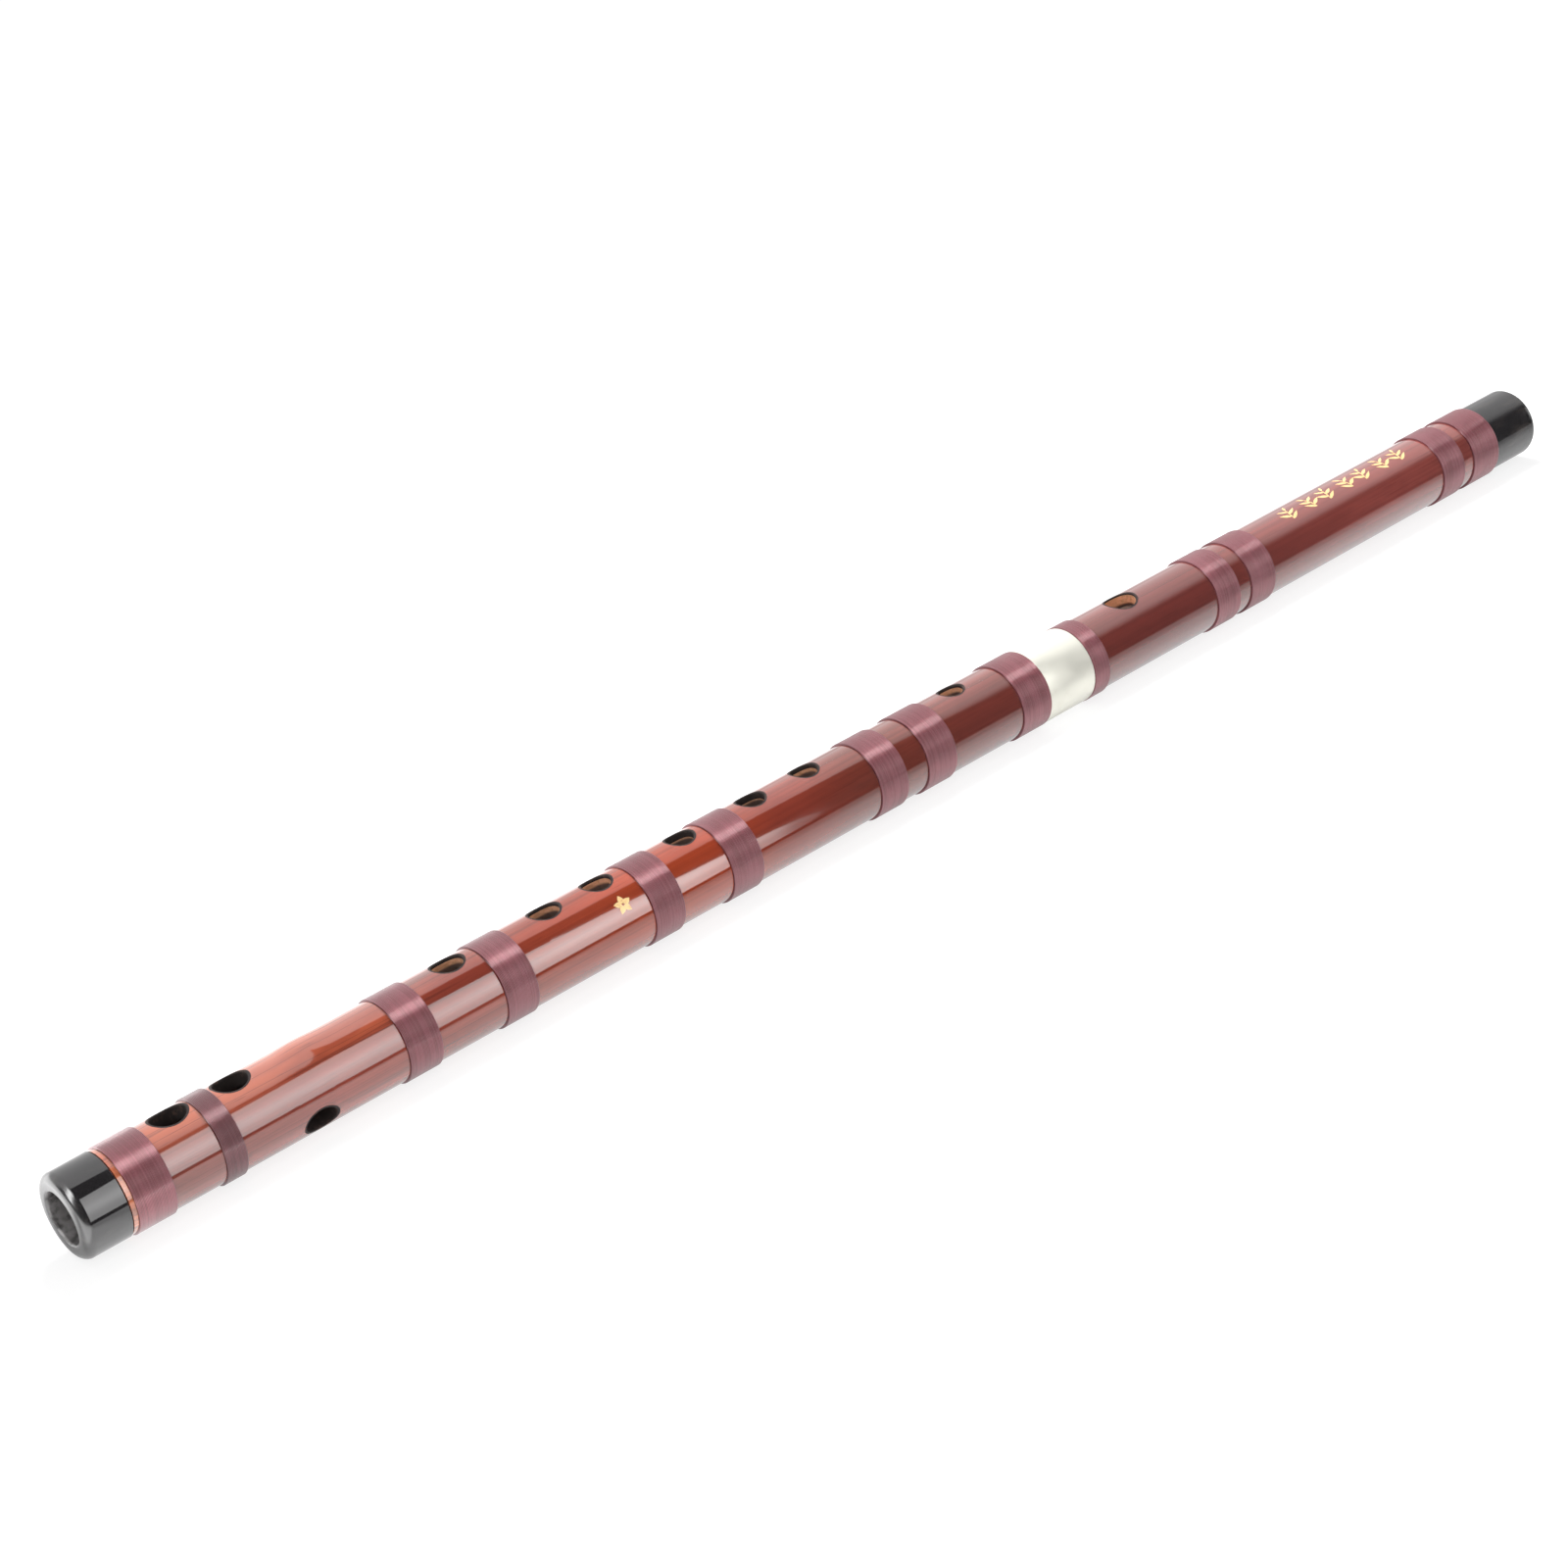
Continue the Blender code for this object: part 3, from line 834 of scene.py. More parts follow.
@dataclass(frozen=True)
class SilverPlate:
    """Silver plate with a satin polish.

    Args:
        name: name of the material.
        colour: its colour.
        tarnish: colour of its faint tarnish.
        turned: pattern of the turning marks round it.
        marks: pattern of the tarnish and the wear.
        tarnish_share: how far the tarnish shows, by the marks.
        gloss: roughness by the marks.
        depth: depth of the turning marks in metres.
    """

    name: str = "satin_silver_plate"
    colour: Colour = (0.67, 0.66, 0.59)
    tarnish: Colour = (0.57, 0.54, 0.47)
    turned: Grain = Grain((5200.0, 30.0, 30.0))
    marks: Grain = Grain((130.0, 130.0, 130.0), 4.0, 0.6)
    tarnish_share: Ramp = Ramp(0.52, 0.80, 0.0, 0.6)
    gloss: Ramp = Ramp(0.3, 0.7, 0.30, 0.42)
    depth: float = 0.000002

    def make(self) -> Material:
        """Builds the material."""
        sheet = Sheet(self.name)
        marks = sheet.noise(self.marks)
        return sheet.finish(
            Base_Color=sheet.mix(sheet.span(marks, self.tarnish_share), self.colour, self.tarnish),
            Metallic=0.50,
            Roughness=sheet.span(marks, self.gloss),
            Specular_IOR_Level=0.2,
            Normal=sheet.bump(sheet.noise(self.turned), self.depth),
        )


@dataclass(frozen=True)
class RawBamboo:
    """Bare bamboo of the bore and the hole walls.

    Args:
        name: name of the material.
        colour: colour of the pith.
        fibre: colour of the fibres.
        bore: painted shade, the darker colour deep down the holes' walls and in the bore.
        fibres: pattern of the fibres.
        fibre_share: how far the fibres show, by their pattern.
        deep: where that painted shade starts, by the distance from the axis.
        head_shift: how much farther in it starts on the head section, by x.
        depth: depth of the fibres in metres.
    """

    name: str = "raw_bamboo_wall"
    colour: Colour = (0.86, 0.45, 0.26)
    fibre: Colour = (0.62, 0.31, 0.165)
    bore: Colour = (0.105, 0.064, 0.048)
    fibres: Grain = Grain((30.0, 1100.0, 1100.0), 4.0, 0.6)
    fibre_share: Ramp = Ramp(0.40, 0.66)
    deep: Ramp = Ramp(0.0095, 0.0087)
    head_shift: Ramp = Ramp(0.05, 0.08, 0.0, 0.0009)
    depth: float = 0.00008

    def make(self) -> Material:
        """Builds the material."""
        sheet = Sheet(self.name)
        fibres = sheet.noise(self.fibres)
        colour = sheet.mix(sheet.span(fibres, self.fibre_share), self.colour, self.fibre)
        # Painted shade: the colour darkens deep down the holes' walls and in the bore.
        shift = sheet.span(sheet.axis_values()[0], self.head_shift)
        deep = sheet.span(sheet.sum("ADD", sheet.radius(), shift), self.deep)
        return sheet.finish(
            Base_Color=sheet.mix(deep, colour, self.bore),
            Roughness=0.62,
            Coat_Weight=0.25,
            Coat_Roughness=0.3,
            Normal=sheet.bump(fibres, self.depth),
        )


@dataclass(frozen=True)
class HolePaint:
    """Black paint on the holes' rims and on some of their walls.

    Args:
        name: name of the material.
        colour: its colour.
        worn: colour where it is thin.
        brushing: pattern of its thickness.
        worn_share: how far it is thin, by that pattern.
        depth: depth of that pattern in metres.
    """

    name: str = "black_hole_paint"
    colour: Colour = (0.026, 0.019, 0.018)
    worn: Colour = (0.075, 0.045, 0.036)
    brushing: Grain = Grain((500.0, 500.0, 500.0), 4.0, 0.6)
    worn_share: Ramp = Ramp(0.52, 0.75)
    depth: float = 0.00003

    def make(self) -> Material:
        """Builds the material."""
        sheet = Sheet(self.name)
        brushing = sheet.noise(self.brushing)
        colour = sheet.mix(sheet.span(brushing, self.worn_share), self.colour, self.worn)
        relief = sheet.bump(brushing, self.depth)
        return sheet.finish(Base_Color=colour, Roughness=0.6, Specular_IOR_Level=0.2, Normal=relief)


@dataclass(frozen=True)
class GoldPaint(HolePaint):
    """Gold paint of the small painted ornaments, with the black paint's fields."""

    name: str = "gold_ornament_paint"
    colour: Colour = (0.74, 0.52, 0.23)
    worn: Colour = (0.52, 0.29, 0.12)
    brushing: Grain = Grain((700.0, 1600.0, 1600.0), 4.0, 0.6)
    worn_share: Ramp = Ramp(0.50, 0.72)
    depth: float = 0.00002

    def make(self) -> Material:
        """Builds the material."""
        sheet = Sheet(self.name)
        brushing = sheet.noise(self.brushing)
        return sheet.finish(
            Base_Color=sheet.mix(sheet.span(brushing, self.worn_share), self.colour, self.worn),
            Metallic=0.25,
            Roughness=0.46,
            Coat_Weight=0.5,
            Coat_Roughness=0.15,
            Normal=sheet.bump(brushing, self.depth),
        )


@dataclass(frozen=True)
class NaturalCork:
    """Natural cork of the stopper.

    Args:
        name: name of the material.
        colour: its colour.
        pore: colour of its pores.
        grain: pattern of its grain.
        pores: pattern of its pores.
        grain_share: how far the grain shows, by its pattern.
        pore_share: how far the pores show, by their pattern.
        depth: depth of the grain in metres.
    """

    name: str = "natural_cork"
    colour: Colour = (0.58, 0.38, 0.21)
    pore: Colour = (0.22, 0.11, 0.05)
    grain: Grain = Grain((620.0, 620.0, 620.0), 5.0, 0.65)
    pores: Grain = Grain((260.0, 900.0, 900.0), 3.0)
    grain_share: Ramp = Ramp(0.42, 0.68, 0.0, 0.5)
    pore_share: Ramp = Ramp(0.62, 0.70)
    depth: float = 0.00025

    def make(self) -> Material:
        """Builds the material."""
        sheet = Sheet(self.name)
        grain = sheet.noise(self.grain)
        colour = sheet.mix(sheet.span(grain, self.grain_share), self.colour, self.pore)
        colour = sheet.mix(sheet.span(sheet.noise(self.pores), self.pore_share), colour, self.pore)
        return sheet.finish(Base_Color=colour, Roughness=0.85, Normal=sheet.bump(grain, self.depth))


@dataclass
class Finishes:
    """Every finish of the flute, made once."""

    lacquer: Material = field(default_factory=lambda: LacqueredBamboo().make())
    thread: Material = field(default_factory=lambda: LacqueredThread().make())
    horn: Material = field(default_factory=lambda: PolishedHorn().make())
    silver: Material = field(default_factory=lambda: SilverPlate().make())
    raw: Material = field(default_factory=lambda: RawBamboo().make())
    paint: Material = field(default_factory=lambda: HolePaint().make())
    gold: Material = field(default_factory=lambda: GoldPaint().make())
    cork: Material = field(default_factory=lambda: NaturalCork().make())


@dataclass
class Piece:
    """One dressed piece and what it stands for.

    Args:
        shape: its object.
        body: the body that it rides on.
        slot: the record's slot for its finish; nothing reads it.
        node: the CAD node that it replaces, or None for an added piece.
    """

    shape: Shape
    body: Body
    slot: Slot
    node: Optional[str] = None

    def hand_over(self) -> None:
        """Tells the frame about the piece and reports it."""
        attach(self.shape, self.body.value)
        if self.node is not None:
            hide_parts(self.node)
        faces = len(self.shape.data.polygons)
        log.info("%s rides on %s, %d faces", self.shape.name, self.body.value, faces)


@dataclass
class BambooTube:
    """A bamboo tube with grooves for its bindings and oval holes through one wall.

    Args:
        name: name of the piece.
        node: CAD node that it replaces.
        body: the body that it rides on.
        outside: outline of the outer side, (x, radius) points from high x to low x.
        inside: outline of the inner side, from low x to high x.
        holes: the holes.
        grid_turn: turn of the whole mesh round the flute.
        finishes: the flute's finishes.
        margin: room along the flute between a hole and the end of its window in the wall.
        cells_along: cells of a window along the flute.
        row_length: longest row of faces along the tube.
        short: length of a stretch of outline that needs no more rows.
        skin: how near to the outer side or the bore a face lies that a window takes out.
        rim_rounding: size of the rounding of a hole's rim.
        rim_paint: width of the painted ring round it.
        rim_steps: steps of that rounding.
        paint_edge: how far above the end of a rim's paint its row of vertices lies.
        wall_row: depth of one more row of vertices down a hole's wall.
        bore_rounding: (how far out, how far before the bore) rows where a hole meets the bore.
        outer_wall: depth under the lacquer from which a face counts as inside.
        bore_skin: how far outside the bore a hole's painted wall ends.
        weld: distance within which the patches' vertices are merged with the tube's.
    """

    name: str
    node: str
    body: Body
    outside: list[Point]
    inside: list[Point]
    holes: tuple[Hole, ...]
    grid_turn: float
    finishes: Finishes
    margin: float = 0.001
    cells_along: int = 12
    row_length: float = 0.005
    short: float = 0.0004
    skin: float = 0.0002
    rim_rounding: float = 0.0004
    rim_paint: float = 0.0003
    rim_steps: int = 4
    paint_edge: float = 0.0001
    wall_row: float = 0.0026
    bore_rounding: tuple[Point, ...] = ((0.0, 0.0004), (0.0001, 0.0001), (0.0003, 0.0))
    outer_wall: float = 0.0021
    bore_skin: float = 0.0001
    weld: float = 0.00001

    @property
    def cells_across(self) -> int:
        """Cells of a hole's window across the flute, which take up 90 degrees."""
        return TURNED_SIDES // 4

    def window(self, hole: Hole) -> tuple[float, float]:
        """Lowest and highest x of a hole's window."""
        half = hole.length / 2 + self.margin
        return hole.station - half, hole.station + half

    def stations(self) -> list[float]:
        """Stations of every row that a window needs, in rising order."""
        rows: list[float] = []
        for hole in self.holes:
            low, high = self.window(hole)
            rows += [low + (high - low) * step / self.cells_along for step in range(self.cells_along + 1)]
        return sorted(rows)

    def filled(self, points: Sequence[Point]) -> list[Point]:
        """Adds rows to an outline where a straight stretch crosses windows or is long.

        Args:
            points: the outline.

        Returns:
            The outline with its rows added.
        """
        rows = self.stations()
        result = [points[0]]
        for before, after in zip(points, points[1:]):
            low, high = sorted((before[0], after[0]))
            if abs(before[1] - after[1]) < SAME_PLACE and high - low > self.short:
                marks = [row for row in rows if low + SAME_PLACE < row < high - SAME_PLACE]
                marks = [low, *marks, high]
                inner: list[float] = []
                for first, second in zip(marks, marks[1:]):
                    parts = max(1, math.ceil((second - first) / self.row_length - SAME_PLACE))
                    inner += [first + (second - first) * part / parts for part in range(parts)]
                inner = [mark for mark in inner if low + SAME_PLACE < mark < high - SAME_PLACE]
                if after[0] < before[0]:
                    inner.reverse()
                result += [(mark, before[1]) for mark in inner]
            result.append(after)
        return result

    def cut_windows(self, tube: Shape) -> None:
        """Takes out the faces where the holes' patches go, outside and in the bore."""
        half_turn = 45.0

        def inside_window(middle: Vector) -> bool:
            """Whether a face lies in the window of a hole."""
            reach = math.hypot(middle.y, middle.z - AXIS_HEIGHT)
            if BORE_RADIUS + self.skin < reach < BAMBOO_RADIUS - self.skin:
                return False
            angle = math.degrees(math.atan2(-middle.y, middle.z - AXIS_HEIGHT))
            for hole in self.holes:
                low, high = self.window(hole)
                apart = (angle - (hole.turn - self.grid_turn) + 180.0) % 360.0 - 180.0
                if low < middle.x < high and abs(apart) < half_turn:
                    return True
            return False

        Bench.edit(tube)
        Bench.pick_faces(tube, inside_window)
        bpy.ops.mesh.delete(type="FACE")
        Bench.leave()

    def patch(self, hole: Hole) -> Shape:
        """Models the patch of wall round a hole, flat, and bends it onto the tube.

        Args:
            hole: the hole.

        Returns:
            The patch, in its place on the flute.
        """
        low, high = self.window(hole)
        height = BAMBOO_RADIUS * math.pi / 2
        wall = BAMBOO_RADIUS - BORE_RADIUS
        patch = Bench.flat_grid(hole.name, self.cells_along, self.cells_across, high - low, height)
        inner_x, inner_z = (high - low) / 2 - SAME_PLACE, height / 2 - SAME_PLACE
        Bench.edit(patch)
        Bench.pick_vertices(patch, lambda co: abs(co.x) < inner_x and abs(co.z) < inner_z)
        bpy.ops.mesh.delete(type="VERT")
        bpy.ops.mesh.select_all(action="SELECT")
        bpy.ops.mesh.duplicate_move(TRANSFORM_OT_translate={"value": (0.0, wall, 0.0)})
        bpy.ops.mesh.select_all(action="DESELECT")
        sides = 2 * (self.cells_along + self.cells_across)
        bpy.ops.mesh.primitive_circle_add(
            vertices=sides, radius=1.0, fill_type="NOTHING", location=ORIGIN, rotation=UPRIGHT
        )
        rings = self.rim_rings(hole)
        along, across, _ = rings[0]
        bpy.ops.transform.resize(value=(along, 1.0, across), center_override=ORIGIN)
        Bench.pick_vertices(patch, lambda co: abs(co.y) < SAME_PLACE)
        bpy.ops.mesh.bridge_edge_loops(number_cuts=4, interpolation="LINEAR")
        Bench.pick_vertices(
            patch, lambda co: abs(co.y) < SAME_PLACE and (co.x / along) ** 2 + (co.z / across) ** 2 < 1.01
        )
        for before, after in zip(rings, rings[1:]):
            down = (0.0, after[2] - before[2], 0.0)
            bpy.ops.mesh.extrude_edges_move(TRANSFORM_OT_translate={"value": down})
            growth = (after[0] / before[0], 1.0, after[1] / before[1])
            bpy.ops.transform.resize(value=growth, center_override=(0.0, after[2], 0.0))
        Bench.pick_vertices(patch, lambda co: co.y > wall - SAME_PLACE)
        bpy.ops.mesh.bridge_edge_loops(number_cuts=2, interpolation="LINEAR")
        Bench.leave()
        Bench.bend(patch, math.pi / 2)
        Bench.place_on_flute(patch, BAMBOO_RADIUS, hole.station, hole.turn - self.grid_turn)
        return patch

    def rim_rings(self, hole: Hole) -> list[Triple]:
        """Half length, half arc height and depth of every ring down a hole's wall.

        Args:
            hole: the hole.

        Returns:
            The rings from the outer face to the bore, for the flat patch.
        """
        wall = BAMBOO_RADIUS - BORE_RADIUS
        rounding = self.rim_rounding
        levels = [(rounding + self.rim_paint, 0.0)]
        levels += Bench.arc((rounding, rounding), rounding, 270.0, 180.0, self.rim_steps)
        levels += [(0.0, hole.paint - self.paint_edge), (0.0, self.wall_row)]
        levels += [(out, wall - before) for out, before in self.bore_rounding]
        rings: list[Triple] = []
        for out, depth in levels:
            reach = min(0.97, (hole.width / 2 + out) / (BAMBOO_RADIUS - depth))
            rings.append((hole.length / 2 + out, BAMBOO_RADIUS * math.asin(reach), depth))
        return rings

    def dress(self, tube: Shape) -> None:
        """Gives lacquer to the outside, raw bamboo to the inside and paint to the rims."""
        for material in (self.finishes.lacquer, self.finishes.raw, self.finishes.paint):
            tube.data.materials.append(material)
        painted = [hole for hole in self.holes if hole.wall is Wall.PAINTED]
        room = self.rim_rounding + self.rim_paint

        def reach(middle: Vector) -> float:
            """Distance from the axis."""
            return math.hypot(middle.y, middle.z - AXIS_HEIGHT)

        def by_hole(middle: Vector, holes: Sequence[Hole]) -> bool:
            """Whether a place lies in the opening of one of the holes."""
            for hole in holes:
                turn = math.radians(hole.turn)
                across = -middle.y * math.cos(turn) - (middle.z - AXIS_HEIGHT) * math.sin(turn)
                out = -middle.y * math.sin(turn) + (middle.z - AXIS_HEIGHT) * math.cos(turn)
                far = ((middle.x - hole.station) / (hole.length / 2 + room)) ** 2
                far += (across / (hole.width / 2 + room)) ** 2
                if out > 0.0 and far < 1.0:
                    return True
            return False

        def raw(middle: Vector) -> bool:
            """Whether a face is inside the tube or in a hole."""
            return reach(middle) < BAMBOO_RADIUS - self.outer_wall or by_hole(middle, self.holes)

        def blackened(middle: Vector) -> bool:
            """Whether a face carries the black paint."""
            deep = BAMBOO_RADIUS - reach(middle)
            if by_hole(middle, [hole for hole in self.holes if deep < hole.paint]):
                return True
            return reach(middle) > BORE_RADIUS + self.bore_skin and by_hole(middle, painted)

        Bench.edit(tube)
        for index, test in ((1, raw), (2, blackened)):
            Bench.pick_faces(tube, test)
            tube.active_material_index = index
            bpy.ops.object.material_slot_assign()
        Bench.leave()
        Bench.smooth(tube)

    def build(self) -> Piece:
        """Models the tube, which is dressed later, once its shape is done."""
        tube = Bench.turned(self.name, self.filled(self.outside) + self.filled(self.inside))
        self.cut_windows(tube)
        patches = [self.patch(hole) for hole in self.holes]
        Bench.take(tube, *patches)
        bpy.ops.object.join()
        Bench.edit(tube)
        Bench.weld(self.weld)
        if self.grid_turn:
            tube.location = (0.0, 0.0, -AXIS_HEIGHT)
            Bench.settle()
            tube.rotation_euler = (math.radians(self.grid_turn), 0.0, 0.0)
            tube.location = (0.0, 0.0, AXIS_HEIGHT)
            Bench.settle()
        return Piece(tube, self.body, Slot.BAMBOO, self.node)


@dataclass
class EndCap:
    """A black turned ring over one end of the bamboo, with a rounded rim and an eased mouth.

    Args:
        name: name of the piece.
        node: CAD node that it replaces.
        body: the body that it rides on.
        face: x of its end face.
        shoulder: x of its other end.
        radius: its radius.
        rounding: size of its rim's rounding.
        front: thickness of its front, which the bamboo stops behind.
        horn: its finish.
        mouth: radius of its mouth.
        mouth_ease: size of the mouth's rounding.
        edge_ease: size of the eased edge at the shoulder.
    """

    name: str
    node: str
    body: Body
    face: float
    shoulder: float
    radius: float
    rounding: float
    front: float
    horn: Material
    mouth: float = 0.0071
    mouth_ease: float = 0.0009
    edge_ease: float = 0.00015

    def build(self) -> Piece:
        """Models and dresses the cap from (distance behind its face, radius) points."""
        length = abs(self.shoulder - self.face)
        inwards = math.copysign(1.0, self.shoulder - self.face)
        socket = CAP_SPIGOT_RADIUS + SEAT_GAP
        rounding, ease = self.rounding, self.mouth_ease
        points = [(length, self.radius - self.edge_ease), (length - self.edge_ease, self.radius)]
        points += Bench.arc((rounding, self.radius - rounding), rounding, 90.0, 180.0, 10)
        points += Bench.arc((ease, self.mouth + ease), ease, 180.0, 270.0, 6)
        points += [(self.front, self.mouth), (self.front, socket), (length, socket)]
        cap = Bench.turned(self.name, [(self.face + inwards * behind, out) for behind, out in points])
        return Piece(Bench.finish(cap, self.horn), self.body, Slot.HORN, self.node)


@dataclass
class FluteLayout:
    """Where everything is along the flute.

    Args:
        foot_bindings: lowest and highest x of each binding on the foot section.
        head_bindings: the same on the head section.
        binding_count: how many bindings there are.
        foot_binding_count: how many of them are on the foot section.
        foot_face: x of the foot cap's end face.
        head_face: x of the head cap's end face.
        foot_shoulder: x of the foot cap's other end.
        head_shoulder: x where the head bamboo narrows for its cap.
        cap_front: thickness of a cap's front.
        ferrule_start: x of the ferrule's low end.
        ferrule_lip: thickness of the lip with which it covers the end grain.
        ferrule_mouth: radius inside that lip and inside the socket's liner.
        tenon_low: x of the tenon tube's low end, where the socket's liner ends too.
        tenon_high: x of its high end.
    """

    foot_bindings: dict[str, Point] = field(default_factory=dict)
    head_bindings: dict[str, Point] = field(default_factory=dict)
    binding_count: int = 14
    foot_binding_count: int = 9
    foot_face: float = -0.2787
    head_face: float = 0.2787
    foot_shoulder: float = -0.2661
    head_shoulder: float = 0.2575
    cap_front: float = 0.005
    ferrule_start: float = 0.0472
    ferrule_lip: float = 0.0009
    ferrule_mouth: float = 0.0084
    tenon_low: float = 0.0358
    tenon_high: float = 0.0808

    def read_bindings(self) -> None:
        """Takes the bindings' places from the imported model."""
        for number in range(1, self.binding_count + 1):
            name = f"binding_{number:02d}"
            low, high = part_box(name)
            spans = self.foot_bindings if number <= self.foot_binding_count else self.head_bindings
            spans[name] = (low[0], high[0])

    def grooved(self, top: float, bottom: float, spans: Sequence[Point]) -> list[Point]:
        """Outer side of a tube from a high x to a low x, with a groove for each binding.

        Args:
            top: high end of the stretch.
            bottom: low end of the stretch.
            spans: the bindings' spans.

        Returns:
            The outline's points.
        """
        points: list[Point] = []
        ordered = sorted(spans, reverse=True)
        if not any(high + SEAT_GAP >= top for _, high in ordered):
            points.append((top, BAMBOO_RADIUS))
        for low, high in ordered:
            groove_top = min(high + SEAT_GAP, top)
            groove_bottom = max(low - SEAT_GAP, bottom)
            if groove_top < top:
                points.append((groove_top, BAMBOO_RADIUS))
            points.append((groove_top, GROOVE_RADIUS))
            points.append((groove_bottom, GROOVE_RADIUS))
            if groove_bottom > bottom:
                points.append((groove_bottom, BAMBOO_RADIUS))
        if not any(low - SEAT_GAP <= bottom for low, _ in ordered):
            points.append((bottom, BAMBOO_RADIUS))
        return points


@dataclass
class FootSection:
    """Long section with the finger holes, the socket and the black foot cap.

    Args:
        layout: places along the flute.
        finishes: the flute's finishes.
        spigot_radius: radius of the bamboo inside the ferrule.
        socket_radius: radius of the socket's counterbore.
        holes: its holes.
        node_station: x of the bamboo's node.
        node_rise: how far the bamboo rises there.
        node_reach: how far along the tube the rise fades out.
        node_half_length: half the length of the node's crest.
        node_half_turn: degrees that the crest reaches down to each side.
        cap_radius: radius of the foot cap.
        cap_rounding: size of its rim's rounding.
        ferrule_radius: radius of the ferrule.
        ferrule_bore: radius inside it.
        ferrule_ease: size of its eased ends.
        liner_radius: outer radius of the socket's liner.
        tenon_radius: radius of the tenon tube.
        tenon_ease: size of its eased ends.
    """

    layout: FluteLayout
    finishes: Finishes
    spigot_radius: float = 0.0107
    socket_radius: float = 0.0093
    holes: tuple[Hole, ...] = (
        Hole("tone_hole_a", -0.2454, 0.0098, 0.0087, 0.0, Wall.PAINTED),
        Hole("tone_hole_b", -0.2274, 0.0094, 0.0087, 0.0, Wall.PAINTED),
        Hole("side_hole_near", -0.2113, 0.0093, 0.0070, 120.0, Wall.PAINTED),
        Hole("side_hole_far", -0.2113, 0.0093, 0.0070, -120.0, Wall.PAINTED),
        Hole("finger_hole_1", -0.1610, 0.0089, 0.0081),
        Hole("finger_hole_2", -0.1293, 0.0087, 0.0081),
        Hole("finger_hole_3", -0.1117, 0.0082, 0.0081),
        Hole("finger_hole_4", -0.0826, 0.0079, 0.0081, paint=0.0021),
        Hole("finger_hole_5", -0.0570, 0.0080, 0.0081, paint=0.0021),
        Hole("finger_hole_6", -0.0372, 0.0077, 0.0081, paint=0.0015),
        Hole("membrane_hole", 0.0201, 0.0073, 0.0071),
    )
    node_station: float = -0.2050
    node_rise: float = 0.00042
    node_reach: float = 0.0075
    node_half_length: float = 0.0026
    node_half_turn: float = 8.0
    cap_radius: float = BAMBOO_RADIUS + 0.00025
    cap_rounding: float = 0.0026
    ferrule_radius: float = 0.0118
    ferrule_bore: float = 0.0110
    ferrule_ease: float = 0.0003
    liner_radius: float = 0.0090
    tenon_radius: float = 0.0081
    tenon_ease: float = 0.0002

    def tube(self) -> Piece:
        """Bamboo tube with eleven holes and a swelling at its node."""
        place = self.layout
        end_grain = JOINT_FACE - place.ferrule_lip - SEAT_GAP
        sleeve_end = place.ferrule_start - SEAT_GAP
        cap_shoulder = place.foot_shoulder + SEAT_GAP
        spigot_end = place.foot_face + place.cap_front + SEAT_GAP
        socket_floor = place.tenon_low - SEAT_GAP
        outside = [(end_grain, self.spigot_radius), (sleeve_end, self.spigot_radius)]
        outside += place.grooved(sleeve_end, cap_shoulder, list(place.foot_bindings.values()))
        outside += [(cap_shoulder, CAP_SPIGOT_RADIUS), (spigot_end, CAP_SPIGOT_RADIUS)]
        inside = [(spigot_end, BORE_RADIUS), (socket_floor, BORE_RADIUS)]
        inside += [(socket_floor, self.socket_radius), (end_grain, self.socket_radius)]
        bamboo = BambooTube(
            "foot_bamboo", "foot_tube", Body.FOOT, outside, inside, self.holes, 0.0, self.finishes
        )
        piece = bamboo.build()
        self.swell(piece.shape, bamboo.skin)
        bamboo.dress(piece.shape)
        return piece

    def swell(self, tube: Shape, skin: float) -> None:
        """Raises the bamboo's node on the top side of the tube.

        Args:
            tube: the tube.
            skin: how near to the outer side a vertex lies that is raised.
        """
        Bench.edit(tube)
        Bench.pick_vertices(
            tube,
            lambda co: abs(co.x - self.node_station) < self.node_half_length
            and math.hypot(co.y, co.z - AXIS_HEIGHT) > BAMBOO_RADIUS - skin
            and abs(math.atan2(co.y, co.z - AXIS_HEIGHT)) < math.radians(self.node_half_turn),
        )
        bpy.ops.transform.translate(
            value=(0.0, 0.0, self.node_rise),
            use_proportional_edit=True,
            use_proportional_connected=True,
            proportional_edit_falloff="SMOOTH",
            proportional_size=self.node_reach,
        )
        Bench.leave()

    def cap(self) -> Piece:
        """Black ring with a rounded rim over the bamboo's end."""
        return EndCap(
            "foot_cap_horn",
            "foot_end_cap",
            Body.FOOT,
            self.layout.foot_face,
            self.layout.foot_shoulder,
            self.cap_radius,
            self.cap_rounding,
            self.layout.cap_front,
            self.finishes.horn,
        ).build()

    def ferrule(self) -> Piece:
        """Silver sleeve round the socket, with eased ends."""
        start, lip = self.layout.ferrule_start, JOINT_FACE - self.layout.ferrule_lip
        ease, middle = self.ferrule_ease, self.ferrule_radius - self.ferrule_ease
        points = Bench.arc((JOINT_FACE - ease, middle), ease, 0.0, 90.0, 4)
        points += Bench.arc((start + ease, middle), ease, 90.0, 180.0, 4)
        points += [(start, self.ferrule_bore), (lip, self.ferrule_bore)]
        points += [(lip, self.layout.ferrule_mouth), (JOINT_FACE, self.layout.ferrule_mouth)]
        return self.silver_piece("ferrule_sleeve", points, Body.FOOT, "socket_ferrule")

    def liner(self) -> Piece:
        """Silver tube that lines the socket."""
        top = JOINT_FACE - self.layout.ferrule_lip - SEAT_GAP
        low, bore = self.layout.tenon_low, self.layout.ferrule_mouth
        points = [(top, self.liner_radius), (low, self.liner_radius), (low, bore), (top, bore)]
        return self.silver_piece("socket_lining", points, Body.FOOT, "socket_liner")

